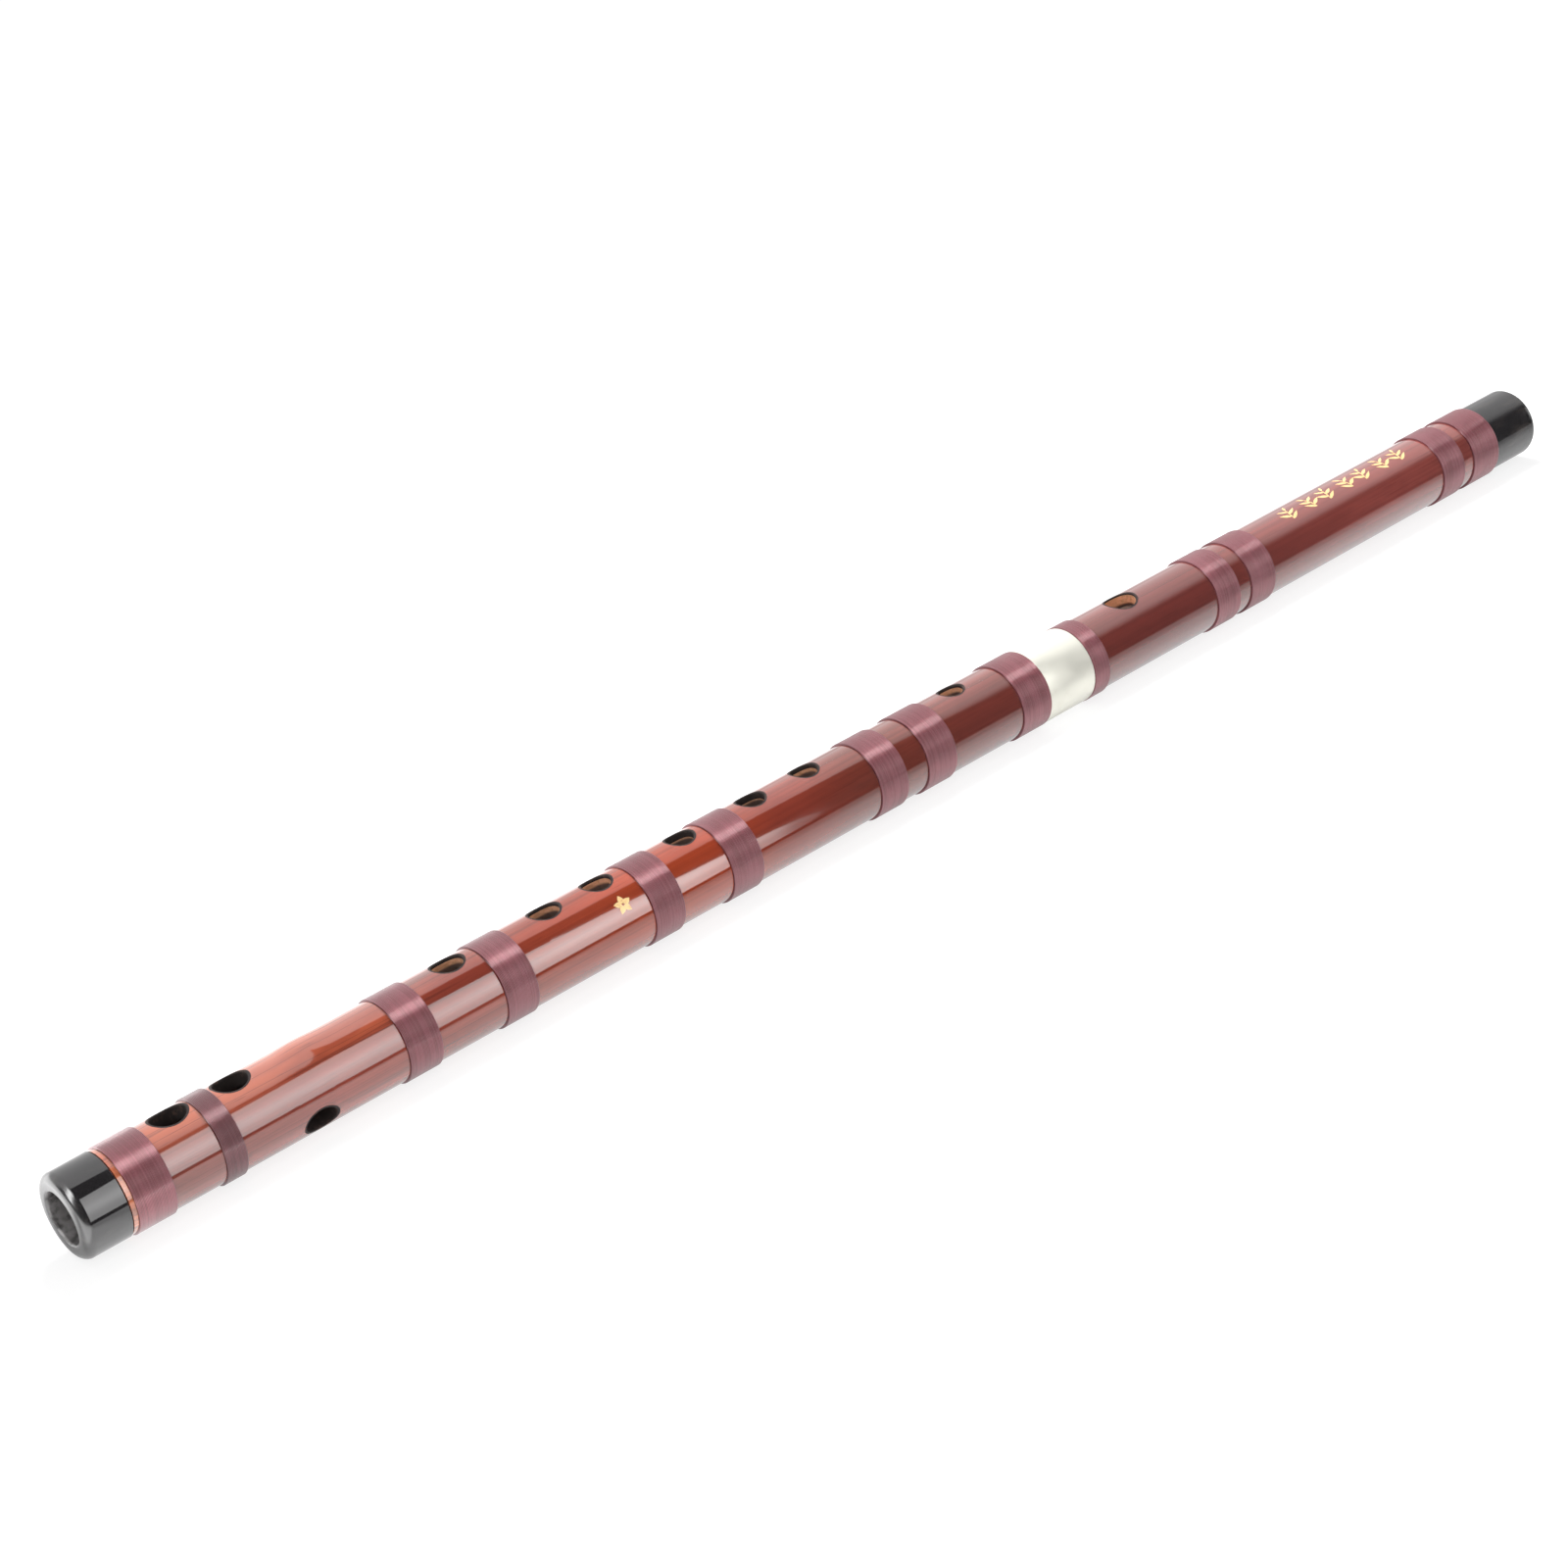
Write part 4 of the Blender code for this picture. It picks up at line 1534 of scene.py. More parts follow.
    def tenon(self) -> Piece:
        """Silver tube that joins the two sections, with eased ends."""
        low, high = self.layout.tenon_low, self.layout.tenon_high
        outer, ease = self.tenon_radius, self.tenon_ease
        points = [(high - ease, outer), (low + ease, outer), (low, outer - ease), (low, BORE_RADIUS)]
        points += [(high, BORE_RADIUS), (high, outer - ease)]
        return self.silver_piece("tenon_sleeve", points, Body.TENON, "tenon_tube")

    def silver_piece(self, name: str, points: Sequence[Point], body: Body, node: str) -> Piece:
        """Turns and dresses a silver ring or tube.

        Args:
            name: name of the piece.
            points: its outline.
            body: the body that it rides on.
            node: CAD node that it replaces.

        Returns:
            The piece.
        """
        shape = Bench.finish(Bench.turned(name, points), self.finishes.silver)
        return Piece(shape, body, Slot.SILVER, node)


@dataclass
class HeadSection:
    """Short section with the embouchure, the stopper and the black head cap.

    Args:
        layout: places along the flute.
        finishes: the flute's finishes.
        seat_radius: radius of the tenon tube's seat.
        embouchure: the hole that is blown across.
        cap_radius: radius of the head cap.
        cap_rounding: size of its rim's rounding.
        cork_low: x of the cork's low end.
        cork_high: x of its high end.
        cork_radius: its radius.
        cork_ease: size of its eased edges.
        cork_hollow: depth of the hollows in its ends.
        cork_rim: radius of those hollows.
        cork_core: radius of the innermost ring of vertices, which is merged into one.
        cork_sides: its sides.
    """

    layout: FluteLayout
    finishes: Finishes
    seat_radius: float = 0.0084
    embouchure: Hole = Hole("embouchure", 0.0905, 0.0098, 0.0090, 5.0, paint=0.0007)
    cap_radius: float = BAMBOO_RADIUS - 0.00015
    cap_rounding: float = 0.0020
    cork_low: float = 0.0998
    cork_high: float = 0.1138
    cork_radius: float = 0.0071
    cork_ease: float = 0.0004
    cork_hollow: float = 0.0002
    cork_rim: float = 0.0040
    cork_core: float = 0.0002
    cork_sides: int = 48

    def tube(self) -> Piece:
        """Bamboo tube with the embouchure."""
        place = self.layout
        joint_end = JOINT_FACE + SEAT_GAP
        spigot_end = place.head_face - place.cap_front - SEAT_GAP
        seat_floor = place.tenon_high + SEAT_GAP
        outside = [(spigot_end, CAP_SPIGOT_RADIUS), (place.head_shoulder, CAP_SPIGOT_RADIUS)]
        outside += place.grooved(place.head_shoulder, joint_end, list(place.head_bindings.values()))
        inside = [(joint_end, self.seat_radius), (seat_floor, self.seat_radius)]
        inside += [(seat_floor, BORE_RADIUS), (spigot_end, BORE_RADIUS)]
        holes, turn = (self.embouchure,), self.embouchure.turn
        bamboo = BambooTube(
            "head_bamboo", "head_tube", Body.HEAD, outside, inside, holes, turn, self.finishes
        )
        piece = bamboo.build()
        bamboo.dress(piece.shape)
        return piece

    def cap(self) -> Piece:
        """Longer black ring on the head end."""
        return EndCap(
            "head_cap_horn",
            "head_end_cap",
            Body.HEAD,
            self.layout.head_face,
            self.layout.head_shoulder + SEAT_GAP,
            self.cap_radius,
            self.cap_rounding,
            self.layout.cap_front,
            self.finishes.horn,
        ).build()

    def stopper(self) -> Piece:
        """Cork that closes the bore past the embouchure, its ends a little hollow."""
        low, high = self.cork_low, self.cork_high
        radius, ease = self.cork_radius, self.cork_ease
        points = [(high - self.cork_hollow, self.cork_core), (high, self.cork_rim), (high, radius - ease)]
        points += [(high - ease, radius), (low + ease, radius), (low, radius - ease)]
        points += [(low, self.cork_rim), (low + self.cork_hollow, self.cork_core)]
        cork = Bench.turned("cork_stopper", points, self.cork_sides)
        Bench.edit(cork)
        middle = (low + high) / 2
        for end in (low, high):

            def in_core(place: Vector) -> bool:
                """Whether a vertex is on the innermost ring at this end."""
                inner = math.hypot(place.y, place.z - AXIS_HEIGHT) < 1.5 * self.cork_core
                return inner and (place.x - middle) * (end - middle) > 0

            Bench.pick_vertices(cork, in_core)
            bpy.ops.mesh.merge(type="CENTER")
        Bench.turn_out()
        return Piece(Bench.finish(cork, self.finishes.cork), Body.STOPPER, Slot.CORK, "stopper_cork")


@dataclass
class ThreadBindings:
    """The fourteen bindings, each wound of fine thread under lacquer.

    Args:
        layout: places along the flute.
        finishes: the flute's finishes.
        pitch: width of one turn of thread.
        crest: radius over the top of the thread.
        dip: depth between two turns.
        inner: radius of the winding's inner side.
        side: depth of the row of vertices on the winding's straight side.
        spread: how far a winding spreads past its CAD band on each side, to fill its groove.
        thread_steps: steps of the rounding over one turn.
        flatness: how much of the round thread is sunk between its neighbours, 0 for none.
        smooth_angle: the angle past which an edge stays sharp.
    """

    layout: FluteLayout
    finishes: Finishes
    pitch: float = 0.00036
    crest: float = 0.0120
    dip: float = 0.00010
    inner: float = 0.01115
    side: float = 0.0003
    spread: float = 0.00025
    thread_steps: int = 6
    flatness: float = 0.03
    smooth_angle: float = 50.0

    def winding(self, name: str, low: float, high: float) -> Shape:
        """Models one binding: a turn of thread, repeated by an array and spun.

        Args:
            name: name of the piece.
            low: its lowest x.
            high: its highest x.

        Returns:
            The binding.
        """
        turns = round((high - low) / self.pitch)
        pitch = (high - low) / turns
        valley = self.crest - self.dip
        sunk = math.sqrt(self.flatness)
        points = []
        for step in range(self.thread_steps + 1):
            share = step / self.thread_steps
            rise = math.sqrt(1.0 - (share * 2.0 - 1.0) ** 2 * (1.0 - self.flatness)) - sunk
            points.append((low + pitch * share, valley + self.dip * rise / (1.0 - sunk)))
        piece = Bench.outline(name, points)
        Bench.leave()
        array = piece.modifiers.new("turns", "ARRAY")
        array.count = turns
        array.use_relative_offset = False
        array.use_constant_offset = True
        array.constant_offset_displace = (pitch, 0.0, 0.0)
        array.use_merge_vertices = True
        array.merge_threshold = SAME_PLACE
        Bench.apply_modifier(piece, "turns")
        Bench.edit(piece)
        for end in (high, low):
            Bench.pick_vertices(piece, lambda co: abs(co.x - end) < pitch * 0.05)
            Bench.draw_on([(end, valley), (end, valley - self.side), (end, self.inner)])
        Bench.draw_on([(low, self.inner), (high, self.inner)])
        Bench.spin()
        return piece

    def build(self) -> list[Piece]:
        """Models and dresses every binding."""
        pieces = []
        for body, spans in ((Body.FOOT, self.layout.foot_bindings), (Body.HEAD, self.layout.head_bindings)):
            for node, (low, high) in spans.items():
                shape = self.winding("wound_" + node, low - self.spread, high + self.spread)
                Bench.finish(shape, self.finishes.thread, self.smooth_angle)
                pieces.append(Piece(shape, body, Slot.THREAD, node))
        return pieces


@dataclass
class GoldOrnaments:
    """Painted gold ornaments: a row of leaf sprigs on the head and a blossom on the foot.

    Args:
        finishes: the flute's finishes.
        lift: how far the paint stands off the lacquer.
        half_height: how far an ornament may reach to each side of its middle, as an arc.
        leaf_columns: columns of faces in a leaf.
        sprigs_low: x where the row of sprigs starts.
        sprigs_high: x where it ends.
        sprig_count: how many sprigs it has.
        sprigs_turn: its turn round the flute.
        sprig_height: height of a sprig.
        sprig_lean: degrees by which a sprig's stem leans.
        sprig_leaves: (place as a share of the stem, length as a share of the sprig's height,
            width in metres, angle in degrees) of each leaf.
        blossom_station: x of the blossom.
        blossom_turn: its turn round the flute.
        blossom_size: its size across.
        blossom_heart: how far from its middle the petals start.
        petals: how many petals it has.
    """

    finishes: Finishes
    lift: float = 0.00003
    half_height: float = 0.006
    leaf_columns: int = 8
    sprigs_low: float = 0.1612
    sprigs_high: float = 0.2228
    sprig_count: int = 7
    sprigs_turn: float = 13.8
    sprig_height: float = 0.0074
    sprig_lean: float = 12.0
    sprig_leaves: tuple[tuple[float, float, float, float], ...] = (
        (0.02, 0.60, 0.0011, 32.0),
        (0.20, 0.56, 0.0012, 150.0),
        (0.40, 0.54, 0.0011, 28.0),
        (0.58, 0.48, 0.0010, 146.0),
        (0.78, 0.40, 0.0009, 60.0),
    )
    blossom_station: float = -0.1108
    blossom_turn: float = 55.0
    blossom_size: float = 0.0056
    blossom_heart: float = 0.0003
    petals: int = 5

    def leaf(self, root: Point, length: float, width: float, angle: float) -> Shape:
        """Models one pointed leaf, flat in the XZ plane.

        Args:
            root: (x, z) of the leaf's root.
            length: length from root to tip.
            width: widest place.
            angle: degrees of the tip from +X towards +Z.

        Returns:
            The leaf.
        """
        leaf = Bench.flat_grid("leaf", self.leaf_columns, 2, length, width)
        Bench.edit(leaf)
        for column in range(self.leaf_columns + 1):
            share = column / self.leaf_columns
            place = (share - 0.5) * length
            Bench.pick_vertices(leaf, lambda co: abs(co.x - place) < length / 20)
            belly = max(0.02, math.sin(math.pi * share ** 0.75) ** 0.9)
            bpy.ops.transform.resize(value=(1.0, 1.0, belly), center_override=(place, 0.0, 0.0))
        Bench.leave()
        leaf.location = (length / 2, 0.0, 0.0)
        Bench.settle()
        leaf.rotation_euler = (0.0, -math.radians(angle), 0.0)
        leaf.location = (root[0], 0.0, root[1])
        Bench.settle()
        return leaf

    def laid_on(self, name: str, parts: Sequence[Shape], station: float, turn: float) -> Shape:
        """Joins flat parts, bends them onto the lacquer and dresses them.

        The bend takes the whole height of what it bends as its arc, so a narrow gauge of a known
        height is bent with the parts and then deleted.

        Args:
            name: name of the piece.
            parts: the flat parts, which stay within half_height of the middle.
            station: x of their middle.
            turn: their turn round the flute.

        Returns:
            The ornament.
        """
        radius = BAMBOO_RADIUS + self.lift
        half_turn = self.half_height / radius
        half_width = 0.00005
        ornament = Bench.flat_grid(name, 1, 1, 2 * half_width, 2 * self.half_height)
        Bench.take(ornament, *parts)
        bpy.ops.object.join()
        Bench.bend(ornament, 2 * half_turn)
        gauge_depth = radius * (1 - math.cos(half_turn)) * 0.98
        Bench.edit(ornament)
        Bench.pick_vertices(ornament, lambda co: abs(co.x) < 1.2 * half_width and co.y > gauge_depth)
        bpy.ops.mesh.delete(type="VERT")
        Bench.turn_out()
        Bench.place_on_flute(ornament, radius, station, turn)
        return Bench.finish(ornament, self.finishes.gold)

    def sprig(self, middle: float, flip: float) -> list[Shape]:
        """Models a stem with five leaves, its middle at an x, leaning one way or the other.

        Args:
            middle: x of its middle.
            flip: 1.0 or -1.0, the way that it leans.

        Returns:
            The stem and the leaves.
        """
        tall = self.sprig_height
        foot = (middle - flip * 0.0012, -tall * 0.48)
        parts = [self.leaf(foot, tall * 0.86, 0.00042, 90.0 - flip * self.sprig_lean)]
        for share, length, width, angle in self.sprig_leaves:
            root = (foot[0] + flip * tall * 0.18 * share, foot[1] + tall * 0.84 * share)
            lean = angle if flip > 0 else 180.0 - angle
            parts.append(self.leaf(root, tall * length, width, lean))
        return parts

    def build(self) -> list[Piece]:
        """Models both ornaments."""
        pitch = (self.sprigs_high - self.sprigs_low) / self.sprig_count
        parts: list[Shape] = []
        for index in range(self.sprig_count):
            middle = (index - (self.sprig_count - 1) / 2) * pitch
            parts += self.sprig(middle, 1.0 if index % 2 == 0 else -1.0)
        station = (self.sprigs_low + self.sprigs_high) / 2
        row = self.laid_on("gold_leaf_sprigs", parts, station, self.sprigs_turn)
        petals = []
        for index in range(self.petals):
            angle = 90.0 + 360.0 / self.petals * index
            root = Bench.arc((0.0, 0.0), self.blossom_heart, angle, angle, 1)[0]
            petals.append(self.leaf(root, self.blossom_size * 0.44, self.blossom_size * 0.30, angle))
        blossom = self.laid_on("gold_blossom", petals, self.blossom_station, self.blossom_turn)
        return [Piece(row, Body.HEAD, Slot.BAMBOO), Piece(blossom, Body.FOOT, Slot.BAMBOO)]


@dataclass(frozen=True)
class Lamp:
    """A soft rectangular lamp that faces the flute.

    Args:
        name: name of the lamp.
        along: its x.
        across: its angle over the leaning horizon.
        distance: its distance from the axis.
        size: its width along the flute and its height.
        power: its power in watts.
    """

    name: str
    along: float
    across: float
    distance: float
    size: Point
    power: float


@dataclass
class Studio:
    """Plain pale floor, soft lamps and reflection cards, and the photograph's camera.

    The cards stand in a frame that leans towards -Y, because the photographed flute has rolled
    that far, and only glossy rays see them. An angle across is in degrees over the leaning
    horizon, 0 on the camera's side. A table of (place, value) points is read straight between.

    Args:
        lean: degrees of that lean.
        card_distance: distance of the cards from the flute's axis.
        card_rows: rows of faces in a card.
        softbox_strength: strength of the softbox card.
        softbox_low: angle across of its low edge.
        softbox_edge: (x, angle across) points of its high edge.
        softbox_along: (x, share of its strength) points.
        softbox_across: (angle across, share of its strength) points.
        overhead_strength: strength of the overhead card.
        overhead_high: angle across of its high edge, behind the flute.
        overhead_edge: (x, angle across) points of its low edge.
        overhead_along: (x, share of its strength) points.
        overhead_across: (angle across, share of its strength) points.
        end_cards: (name, the two ends, the two angles across, strength) of the cards beyond
            the flute's ends, which are there for the rounded thread.
        floor_card_drop: how far under the axis the floor card lies.
        floor_card_strength: its strength.
        floor_columns: x of its columns of vertices.
        floor_rows: distances across the flute of its rows of vertices.
        floor_near: (distance from the flute, share of its strength) points.
        floor_ends: (x, share of its strength) points.
        floor_dark_along: (x, share that it is darker by away from the flute) points.
        floor_dark_out: (distance from the flute, share of that darkness) points.
        lamp_list: the lamps.
        fill: strength of the world's light.
        glossy_fill: strength of the world in reflections.
        floor_size: size of the floor.
        floor_grey: the floor's own colour.
        floor_shade: share of the light that the camera sees on the floor.
        floor_glow: the floor's glow for the camera beside the flute.
        glow_reach: distances from the middle between which that glow goes up to white.
        floor_bounce: the floor's glow for everything else.
        camera_place: the camera's place.
        camera_turn: its turn in degrees.
        camera_lens: its focal length in millimetres, on a sensor 36 mm wide.
    """

    lean: float = 17.5
    card_distance: float = 0.9
    card_rows: int = 16
    softbox_strength: float = 5.2
    softbox_low: float = 8.0
    softbox_edge: tuple[Point, ...] = (
        (-0.12, 66.0),
        (-0.05, 67.0),
        (0.05, 70.5),
        (0.10, 72.0),
        (0.14, 73.5),
        (0.169, 75.5),
        (0.189, 74.1),
        (0.241, 71.7),
        (0.312, 66.9),
        (0.3245, 64.4),
        (0.352, 62.0),
        (0.393, 54.6),
        (0.426, 48.5),
        (0.4876, 37.4),
        (0.502, 32.5),
        (0.520, 9.0),
    )
    softbox_along: tuple[Point, ...] = (
        (0.13, 0.78),
        (0.24, 0.78),
        (0.31, 0.91),
        (0.33, 1.0),
        (0.44, 1.0),
        (0.488, 0.58),
        (0.502, 0.26),
        (0.52, 0.13),
    )
    softbox_across: tuple[Point, ...] = (
        (8.0, 0.66),
        (12.0, 0.66),
        (17.0, 0.68),
        (24.0, 0.76),
        (31.0, 0.93),
        (38.6, 1.0),
        (46.0, 0.9),
        (53.0, 0.76),
        (61.0, 0.70),
        (68.0, 0.64),
        (76.0, 0.56),
    )
    overhead_strength: float = 1.35
    overhead_high: float = 184.0
    overhead_edge: tuple[Point, ...] = (
        (-1.2, 104.0),
        (-0.45, 104.0),
        (-0.44, 99.5),
        (0.024, 99.5),
        (0.036, 80.0),
        (0.13, 84.0),
        (0.143, 88.0),
        (0.153, 111.0),
        (0.17, 111.0),
        (0.20, 107.0),
        (0.25, 104.5),
        (0.325, 101.0),
        (0.393, 98.5),
        (0.45, 97.0),
        (0.576, 91.0),
        (0.68, 70.0),
        (0.80, 66.0),
        (0.95, 64.0),
        (2.6, 64.0),
    )
    overhead_along: tuple[Point, ...] = (
        (0.17, 1.05),
        (0.24, 1.0),
        (0.325, 0.68),
        (0.393, 0.66),
        (0.56, 0.9),
        (0.80, 0.85),
        (0.95, 0.75),
    )
    overhead_across: tuple[Point, ...] = (
        (64.0, 0.02),
        (68.0, 0.10),
        (72.0, 0.25),
        (76.0, 0.45),
        (82.0, 0.80),
        (90.0, 1.0),
    )
    end_cards: tuple[tuple[str, Point, Point, float], ...] = (
        ("thread_light_foot", (-2.6, -0.45), (83.0, 115.0), 13.0),
        ("thread_light_head", (1.45, 2.6), (83.0, 115.0), 1.56),
        ("thread_side_card", (1.45, 2.6), (18.0, 60.0), 3.0),
    )
    floor_card_drop: float = 0.0121
    floor_card_strength: float = 1.45
    floor_columns: tuple[float, ...] = (-5.0, -0.292, -0.286, -0.262, -0.245, -0.12, 0.05, 5.0)
    floor_rows: tuple[float, ...] = (
        *(-5.0, -0.3, -0.1, -0.05, -0.02, -0.008),
        *(0.0, 0.008, 0.012, 0.018, 0.035, 0.06, 0.1, 0.3, 5.0),
    )
    floor_near: tuple[Point, ...] = (
        (0.0, 0.35),
        (0.008, 0.50),
        (0.012, 0.72),
        (0.018, 0.95),
        (0.05, 0.95),
        (0.1, 1.0),
    )
    floor_ends: tuple[Point, ...] = ((-0.292, 3.0), (-0.286, 1.6), (-0.262, 1.6), (-0.245, 1.0))
    floor_dark_along: tuple[Point, ...] = ((-0.12, 0.0), (0.05, 0.5))
    floor_dark_out: tuple[Point, ...] = ((0.035, 0.0), (0.1, 1.0))
    lamp_list: tuple[Lamp, ...] = (
        Lamp("key_lamp", -0.08, 72.0, 0.9, (1.05, 0.50), 2.2),
        Lamp("overhead_lamp", 0.02, 112.0, 0.95, (1.1, 0.45), 1.8),
        Lamp("head_lamp", 0.19, 132.0, 0.55, (0.40, 0.30), 8.0),
        Lamp("end_lamp", -0.75, 70.0, 0.25, (0.30, 0.30), 0.8),
    )
    fill: float = 0.27
    glossy_fill: float = 0.08
    floor_size: float = 14.0
    floor_grey: float = 0.84
    floor_shade: float = 0.26
    floor_glow: float = 0.83
    glow_reach: Point = (0.35, 0.9)
    floor_bounce: float = 0.40
    camera_place: Triple = (-0.49732, -0.63507, 0.36091)
    camera_turn: Triple = (66.00857, 11.59349, -40.59135)
    camera_lens: float = 70.3707

    def direction(self, across: float) -> Vector:
        """Unit vector at an angle across."""
        lean = math.radians(self.lean)
        side = Vector((0.0, -math.cos(lean), -math.sin(lean)))
        up = Vector((0.0, -math.sin(lean), math.cos(lean)))
        angle = math.radians(across)
        return side * math.cos(angle) + up * math.sin(angle)

    def place(self, along: float, across: float, distance: float) -> Vector:
        """Place at an x, an angle across and a distance from the axis."""
        return Vector((along, 0.0, AXIS_HEIGHT)) + self.direction(across) * distance

    @staticmethod
    def glow(name: str) -> Material:
        """Emission for a card, as strong as the card's own attribute says.

        Args:
            name: name of the material.

        Returns:
            The material.
        """
        material = bpy.data.materials.new(name)
        nodes = Nodes(material)
        attribute = nodes.node("ShaderNodeAttribute")
        attribute.attribute_name = "strength"
        emission = nodes.node("ShaderNodeEmission", Strength=attribute.outputs["Fac"])
        nodes.node("ShaderNodeOutputMaterial", Surface=emission.outputs["Emission"])
        return material

    @staticmethod
    def read(table: Sequence[Point], place: float) -> float:
        """Reads a table of (place, value) points, straight between them.

        Args:
            table: the points in rising order.
            place: where it is read.

        Returns:
            The value.
        """
        if place <= table[0][0]:
            return table[0][1]
        for before, after in zip(table, table[1:]):
            if place <= after[0]:
                share = (place - before[0]) / (after[0] - before[0])
                return before[1] + (after[1] - before[1]) * share
        return table[-1][1]

    def card(
        self, name: str, columns: int, rows: int, lay: Callable[[int, int], tuple[Vector, float]]
    ) -> None:
        """Sets up a card that only glossy rays see.

        Args:
            name: name of the card.
            columns: its columns of faces.
            rows: its rows of faces.
            lay: takes a vertex's column and row, and gives its place and strength.
        """
        Bench.clear_selection()
        bpy.ops.mesh.primitive_grid_add(x_subdivisions=columns, y_subdivisions=rows, size=1.0)
        card = bpy.context.active_object
        card.name = name
        strengths = card.data.attributes.new("strength", "FLOAT", "POINT")
        for vertex in card.data.vertices:
            column = round((vertex.co.x + 0.5) * columns)
            row = round((vertex.co.y + 0.5) * rows)
            vertex.co, strengths.data[vertex.index].value = lay(column, row)
        card.data.materials.append(self.glow(name + "_glow"))
        card.visible_camera = False
        card.visible_diffuse = False
        card.visible_transmission = False
        card.visible_volume_scatter = False
        card.visible_shadow = False

    def curved_card(
        self,
        name: str,
        lower: Sequence[Point],
        upper: Sequence[Point],
        strength: float,
        by_along: Sequence[Point] = ((0.0, 1.0),),
        by_across: Sequence[Point] = ((0.0, 1.0),),
    ) -> None:
        """Sets up a card between two edges, curved round the flute.

        Args:
            name: name of the card.
            lower: (x, angle across) points of one edge.
            upper: as many points of the other edge.
            strength: its strength.
            by_along: (x, share of the strength) points.
            by_across: (angle across, share of the strength) points.
        """

        def lay(column: int, row: int) -> tuple[Vector, float]:
            """Place and strength of a vertex."""
            share = row / self.card_rows
            along = lower[column][0] * (1 - share) + upper[column][0] * share
            across = lower[column][1] * (1 - share) + upper[column][1] * share
            shine = strength * self.read(by_along, along) * self.read(by_across, across)
            return self.place(along, across, self.card_distance), shine

        self.card(name, len(lower) - 1, self.card_rows, lay)

    def floor_card(self) -> None:
        """Sets up the card that stands in for the floor in reflections, darker by the flute."""
        under = self.place(0.0, -90.0, self.floor_card_drop)
        side = self.direction(0.0)

        def lay(column: int, row: int) -> tuple[Vector, float]:
            """Place and strength of a vertex."""
            along, out = self.floor_columns[column], self.floor_rows[row]
            share = self.read(self.floor_near, abs(out)) * self.read(self.floor_ends, along)
            dark = self.read(self.floor_dark_along, along) * self.read(self.floor_dark_out, abs(out))
            place = under + Vector((along, 0.0, 0.0)) + side * out
            return place, self.floor_card_strength * share * (1.0 - dark)

        self.card("floor_card", len(self.floor_columns) - 1, len(self.floor_rows) - 1, lay)

    def cards(self) -> None:
        """Sets up the softbox, the overhead card, the cards beyond the ends and the floor card."""
        edge = self.softbox_edge
        lower = [(place, self.softbox_low) for place, _ in edge]
        strength = self.softbox_strength
        self.curved_card("softbox_card", lower, edge, strength, self.softbox_along, self.softbox_across)
        edge = self.overhead_edge
        upper = [(place, self.overhead_high) for place, _ in edge]
        strength = self.overhead_strength
        self.curved_card("overhead_card", edge, upper, strength, self.overhead_along, self.overhead_across)
        for name, ends, angles, strength in self.end_cards:
            lower, upper = ([(place, angle) for place in ends] for angle in angles)
            self.curved_card(name, lower, upper, strength)
        self.floor_card()

    def lamps(self) -> None:
        """Sets up the lamps, each aimed at the flute."""
        for plan in self.lamp_list:
            place = self.place(plan.along, plan.across, plan.distance)
            bpy.ops.object.light_add(type="AREA", location=place)
            lamp = bpy.context.active_object
            lamp.name = plan.name
            lamp.data.shape = "RECTANGLE"
            lamp.data.size, lamp.data.size_y = plan.size
            lamp.data.energy = plan.power
            aim = self.place(max(-0.28, plan.along * 0.6), 0.0, 0.0) - place
            lamp.rotation_euler = aim.to_track_quat("-Z", "Y").to_euler()
            lamp.visible_glossy = False

    def floor(self) -> None:
        """Lays the pale floor, which glows a little for the camera and keeps the shadow."""
        Bench.clear_selection()
        bpy.ops.mesh.primitive_plane_add(size=self.floor_size, location=ORIGIN)
        floor = bpy.context.active_object
        floor.name = "floor"
        material = bpy.data.materials.new("pale_floor")
        nodes = Nodes(material)
        matt = nodes.node("ShaderNodeBsdfDiffuse", Color=(self.floor_grey,) * 3)
        bounce = nodes.node("ShaderNodeEmission", Strength=self.floor_bounce)
        under = nodes.joined("ShaderNodeAddShader", matt.outputs[0], bounce.outputs[0])
        distance = nodes.node("ShaderNodeVectorMath")
        distance.operation = "LENGTH"
        nodes.put(distance.inputs[0], nodes.node("ShaderNodeTexCoord").outputs["Object"])
        glow = nodes.node(
            "ShaderNodeMapRange",
            Value=distance.outputs["Value"],
            From_Min=self.glow_reach[0],
            From_Max=self.glow_reach[1],
            To_Min=self.floor_glow,
            To_Max=1.0,
        )
        faint = nodes.node("ShaderNodeBsdfDiffuse", Color=(self.floor_shade,) * 3)
        emission = nodes.node("ShaderNodeEmission", Strength=glow.outputs["Result"])
        shown = nodes.joined("ShaderNodeAddShader", faint.outputs[0], emission.outputs[0])
        by_camera = nodes.node("ShaderNodeLightPath").outputs["Is Camera Ray"]
        surface = nodes.joined("ShaderNodeMixShader", by_camera, under, shown)
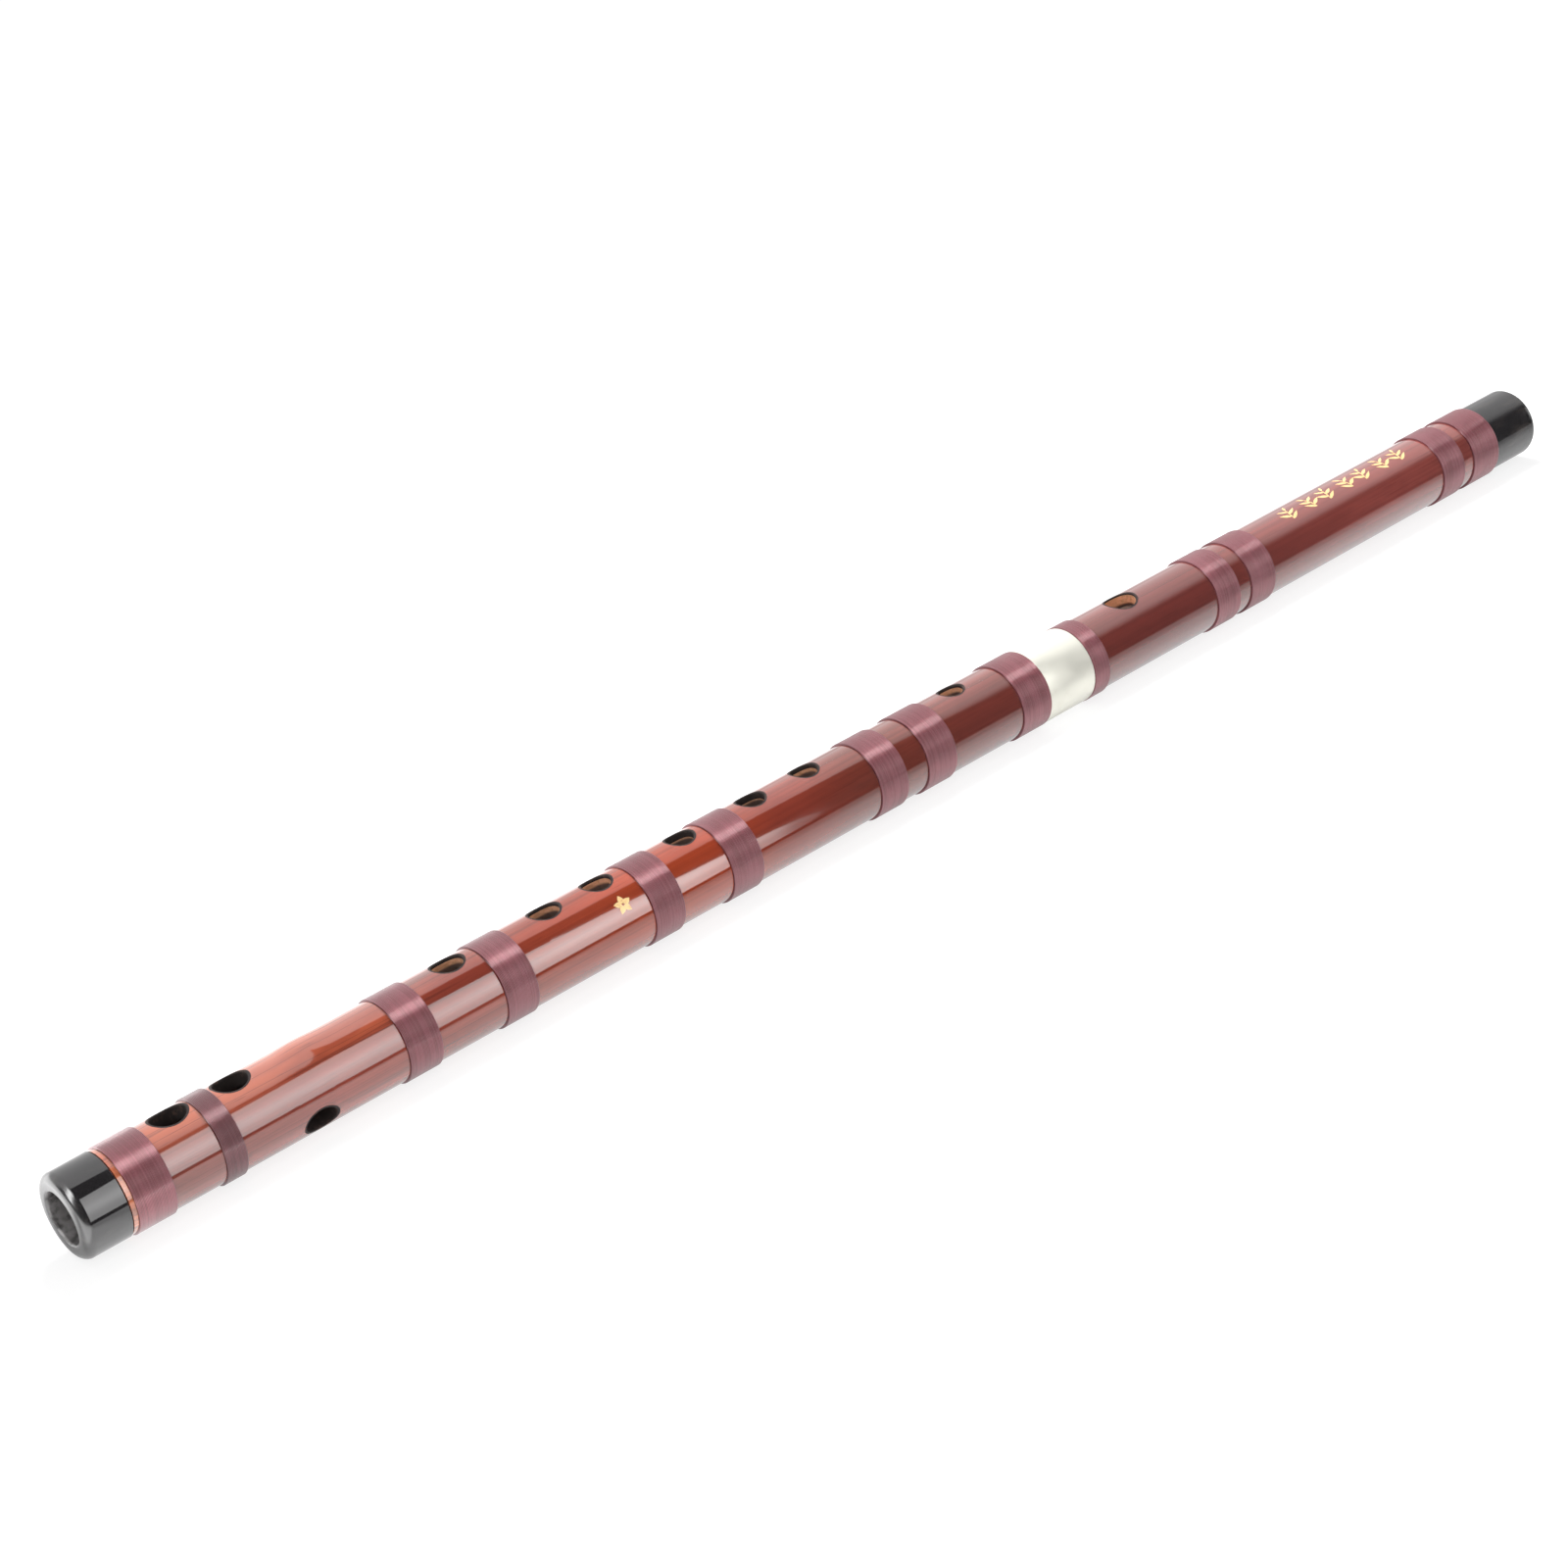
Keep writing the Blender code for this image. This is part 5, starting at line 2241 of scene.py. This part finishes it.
        nodes.node("ShaderNodeOutputMaterial", Surface=surface)
        floor.data.materials.append(material)
        floor.visible_glossy = False

    def world(self) -> None:
        """Sets the plain surroundings: white for the camera, soft grey for the light."""
        world = bpy.data.worlds.new("pale_studio")
        bpy.context.scene.world = world
        nodes = Nodes(world)
        path = nodes.node("ShaderNodeLightPath")
        strength: Value = self.fill
        for ray, seen in (("Is Glossy Ray", self.glossy_fill), ("Is Camera Ray", 1.0)):
            choice = nodes.node("ShaderNodeMix")
            choice.data_type = "FLOAT"
            for number, value in ((0, path.outputs[ray]), (2, strength), (3, seen)):
                nodes.put(choice.inputs[number], value)
            strength = choice.outputs[0]
        background = nodes.node("ShaderNodeBackground", Color=(1.0, 1.0, 1.0), Strength=strength)
        nodes.node("ShaderNodeOutputWorld", Surface=background.outputs[0])

    def camera(self) -> None:
        """Sets the camera at the photograph's angle."""
        bpy.ops.object.camera_add(location=self.camera_place)
        camera = bpy.context.active_object
        camera.name = "photo_camera"
        camera.rotation_euler = tuple(math.radians(angle) for angle in self.camera_turn)
        camera.data.sensor_width = 36.0
        camera.data.lens = self.camera_lens
        camera.data.clip_start = 0.01
        camera.data.clip_end = 50.0
        bpy.context.scene.camera = camera

    def build(self) -> None:
        """Sets up the whole studio."""
        bpy.context.scene.view_settings.view_transform = "Standard"
        self.floor()
        self.cards()
        self.lamps()
        self.world()
        self.camera()


def main() -> None:
    """Builds every class in order and reports each piece."""
    logging.basicConfig(level=logging.INFO, format="%(name)s: %(message)s")
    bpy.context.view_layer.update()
    studio = Studio()
    studio.build()
    finishes = Finishes()
    layout = FluteLayout()
    layout.read_bindings()
    foot = FootSection(layout, finishes)
    head = HeadSection(layout, finishes)
    pieces = [foot.tube(), foot.cap(), foot.ferrule(), foot.liner(), foot.tenon()]
    pieces += [head.tube(), head.cap(), head.stopper()]
    pieces += ThreadBindings(layout, finishes).build()
    pieces += GoldOrnaments(finishes).build()
    for piece in pieces:
        piece.hand_over()


if __name__ == "__main__":
    main()
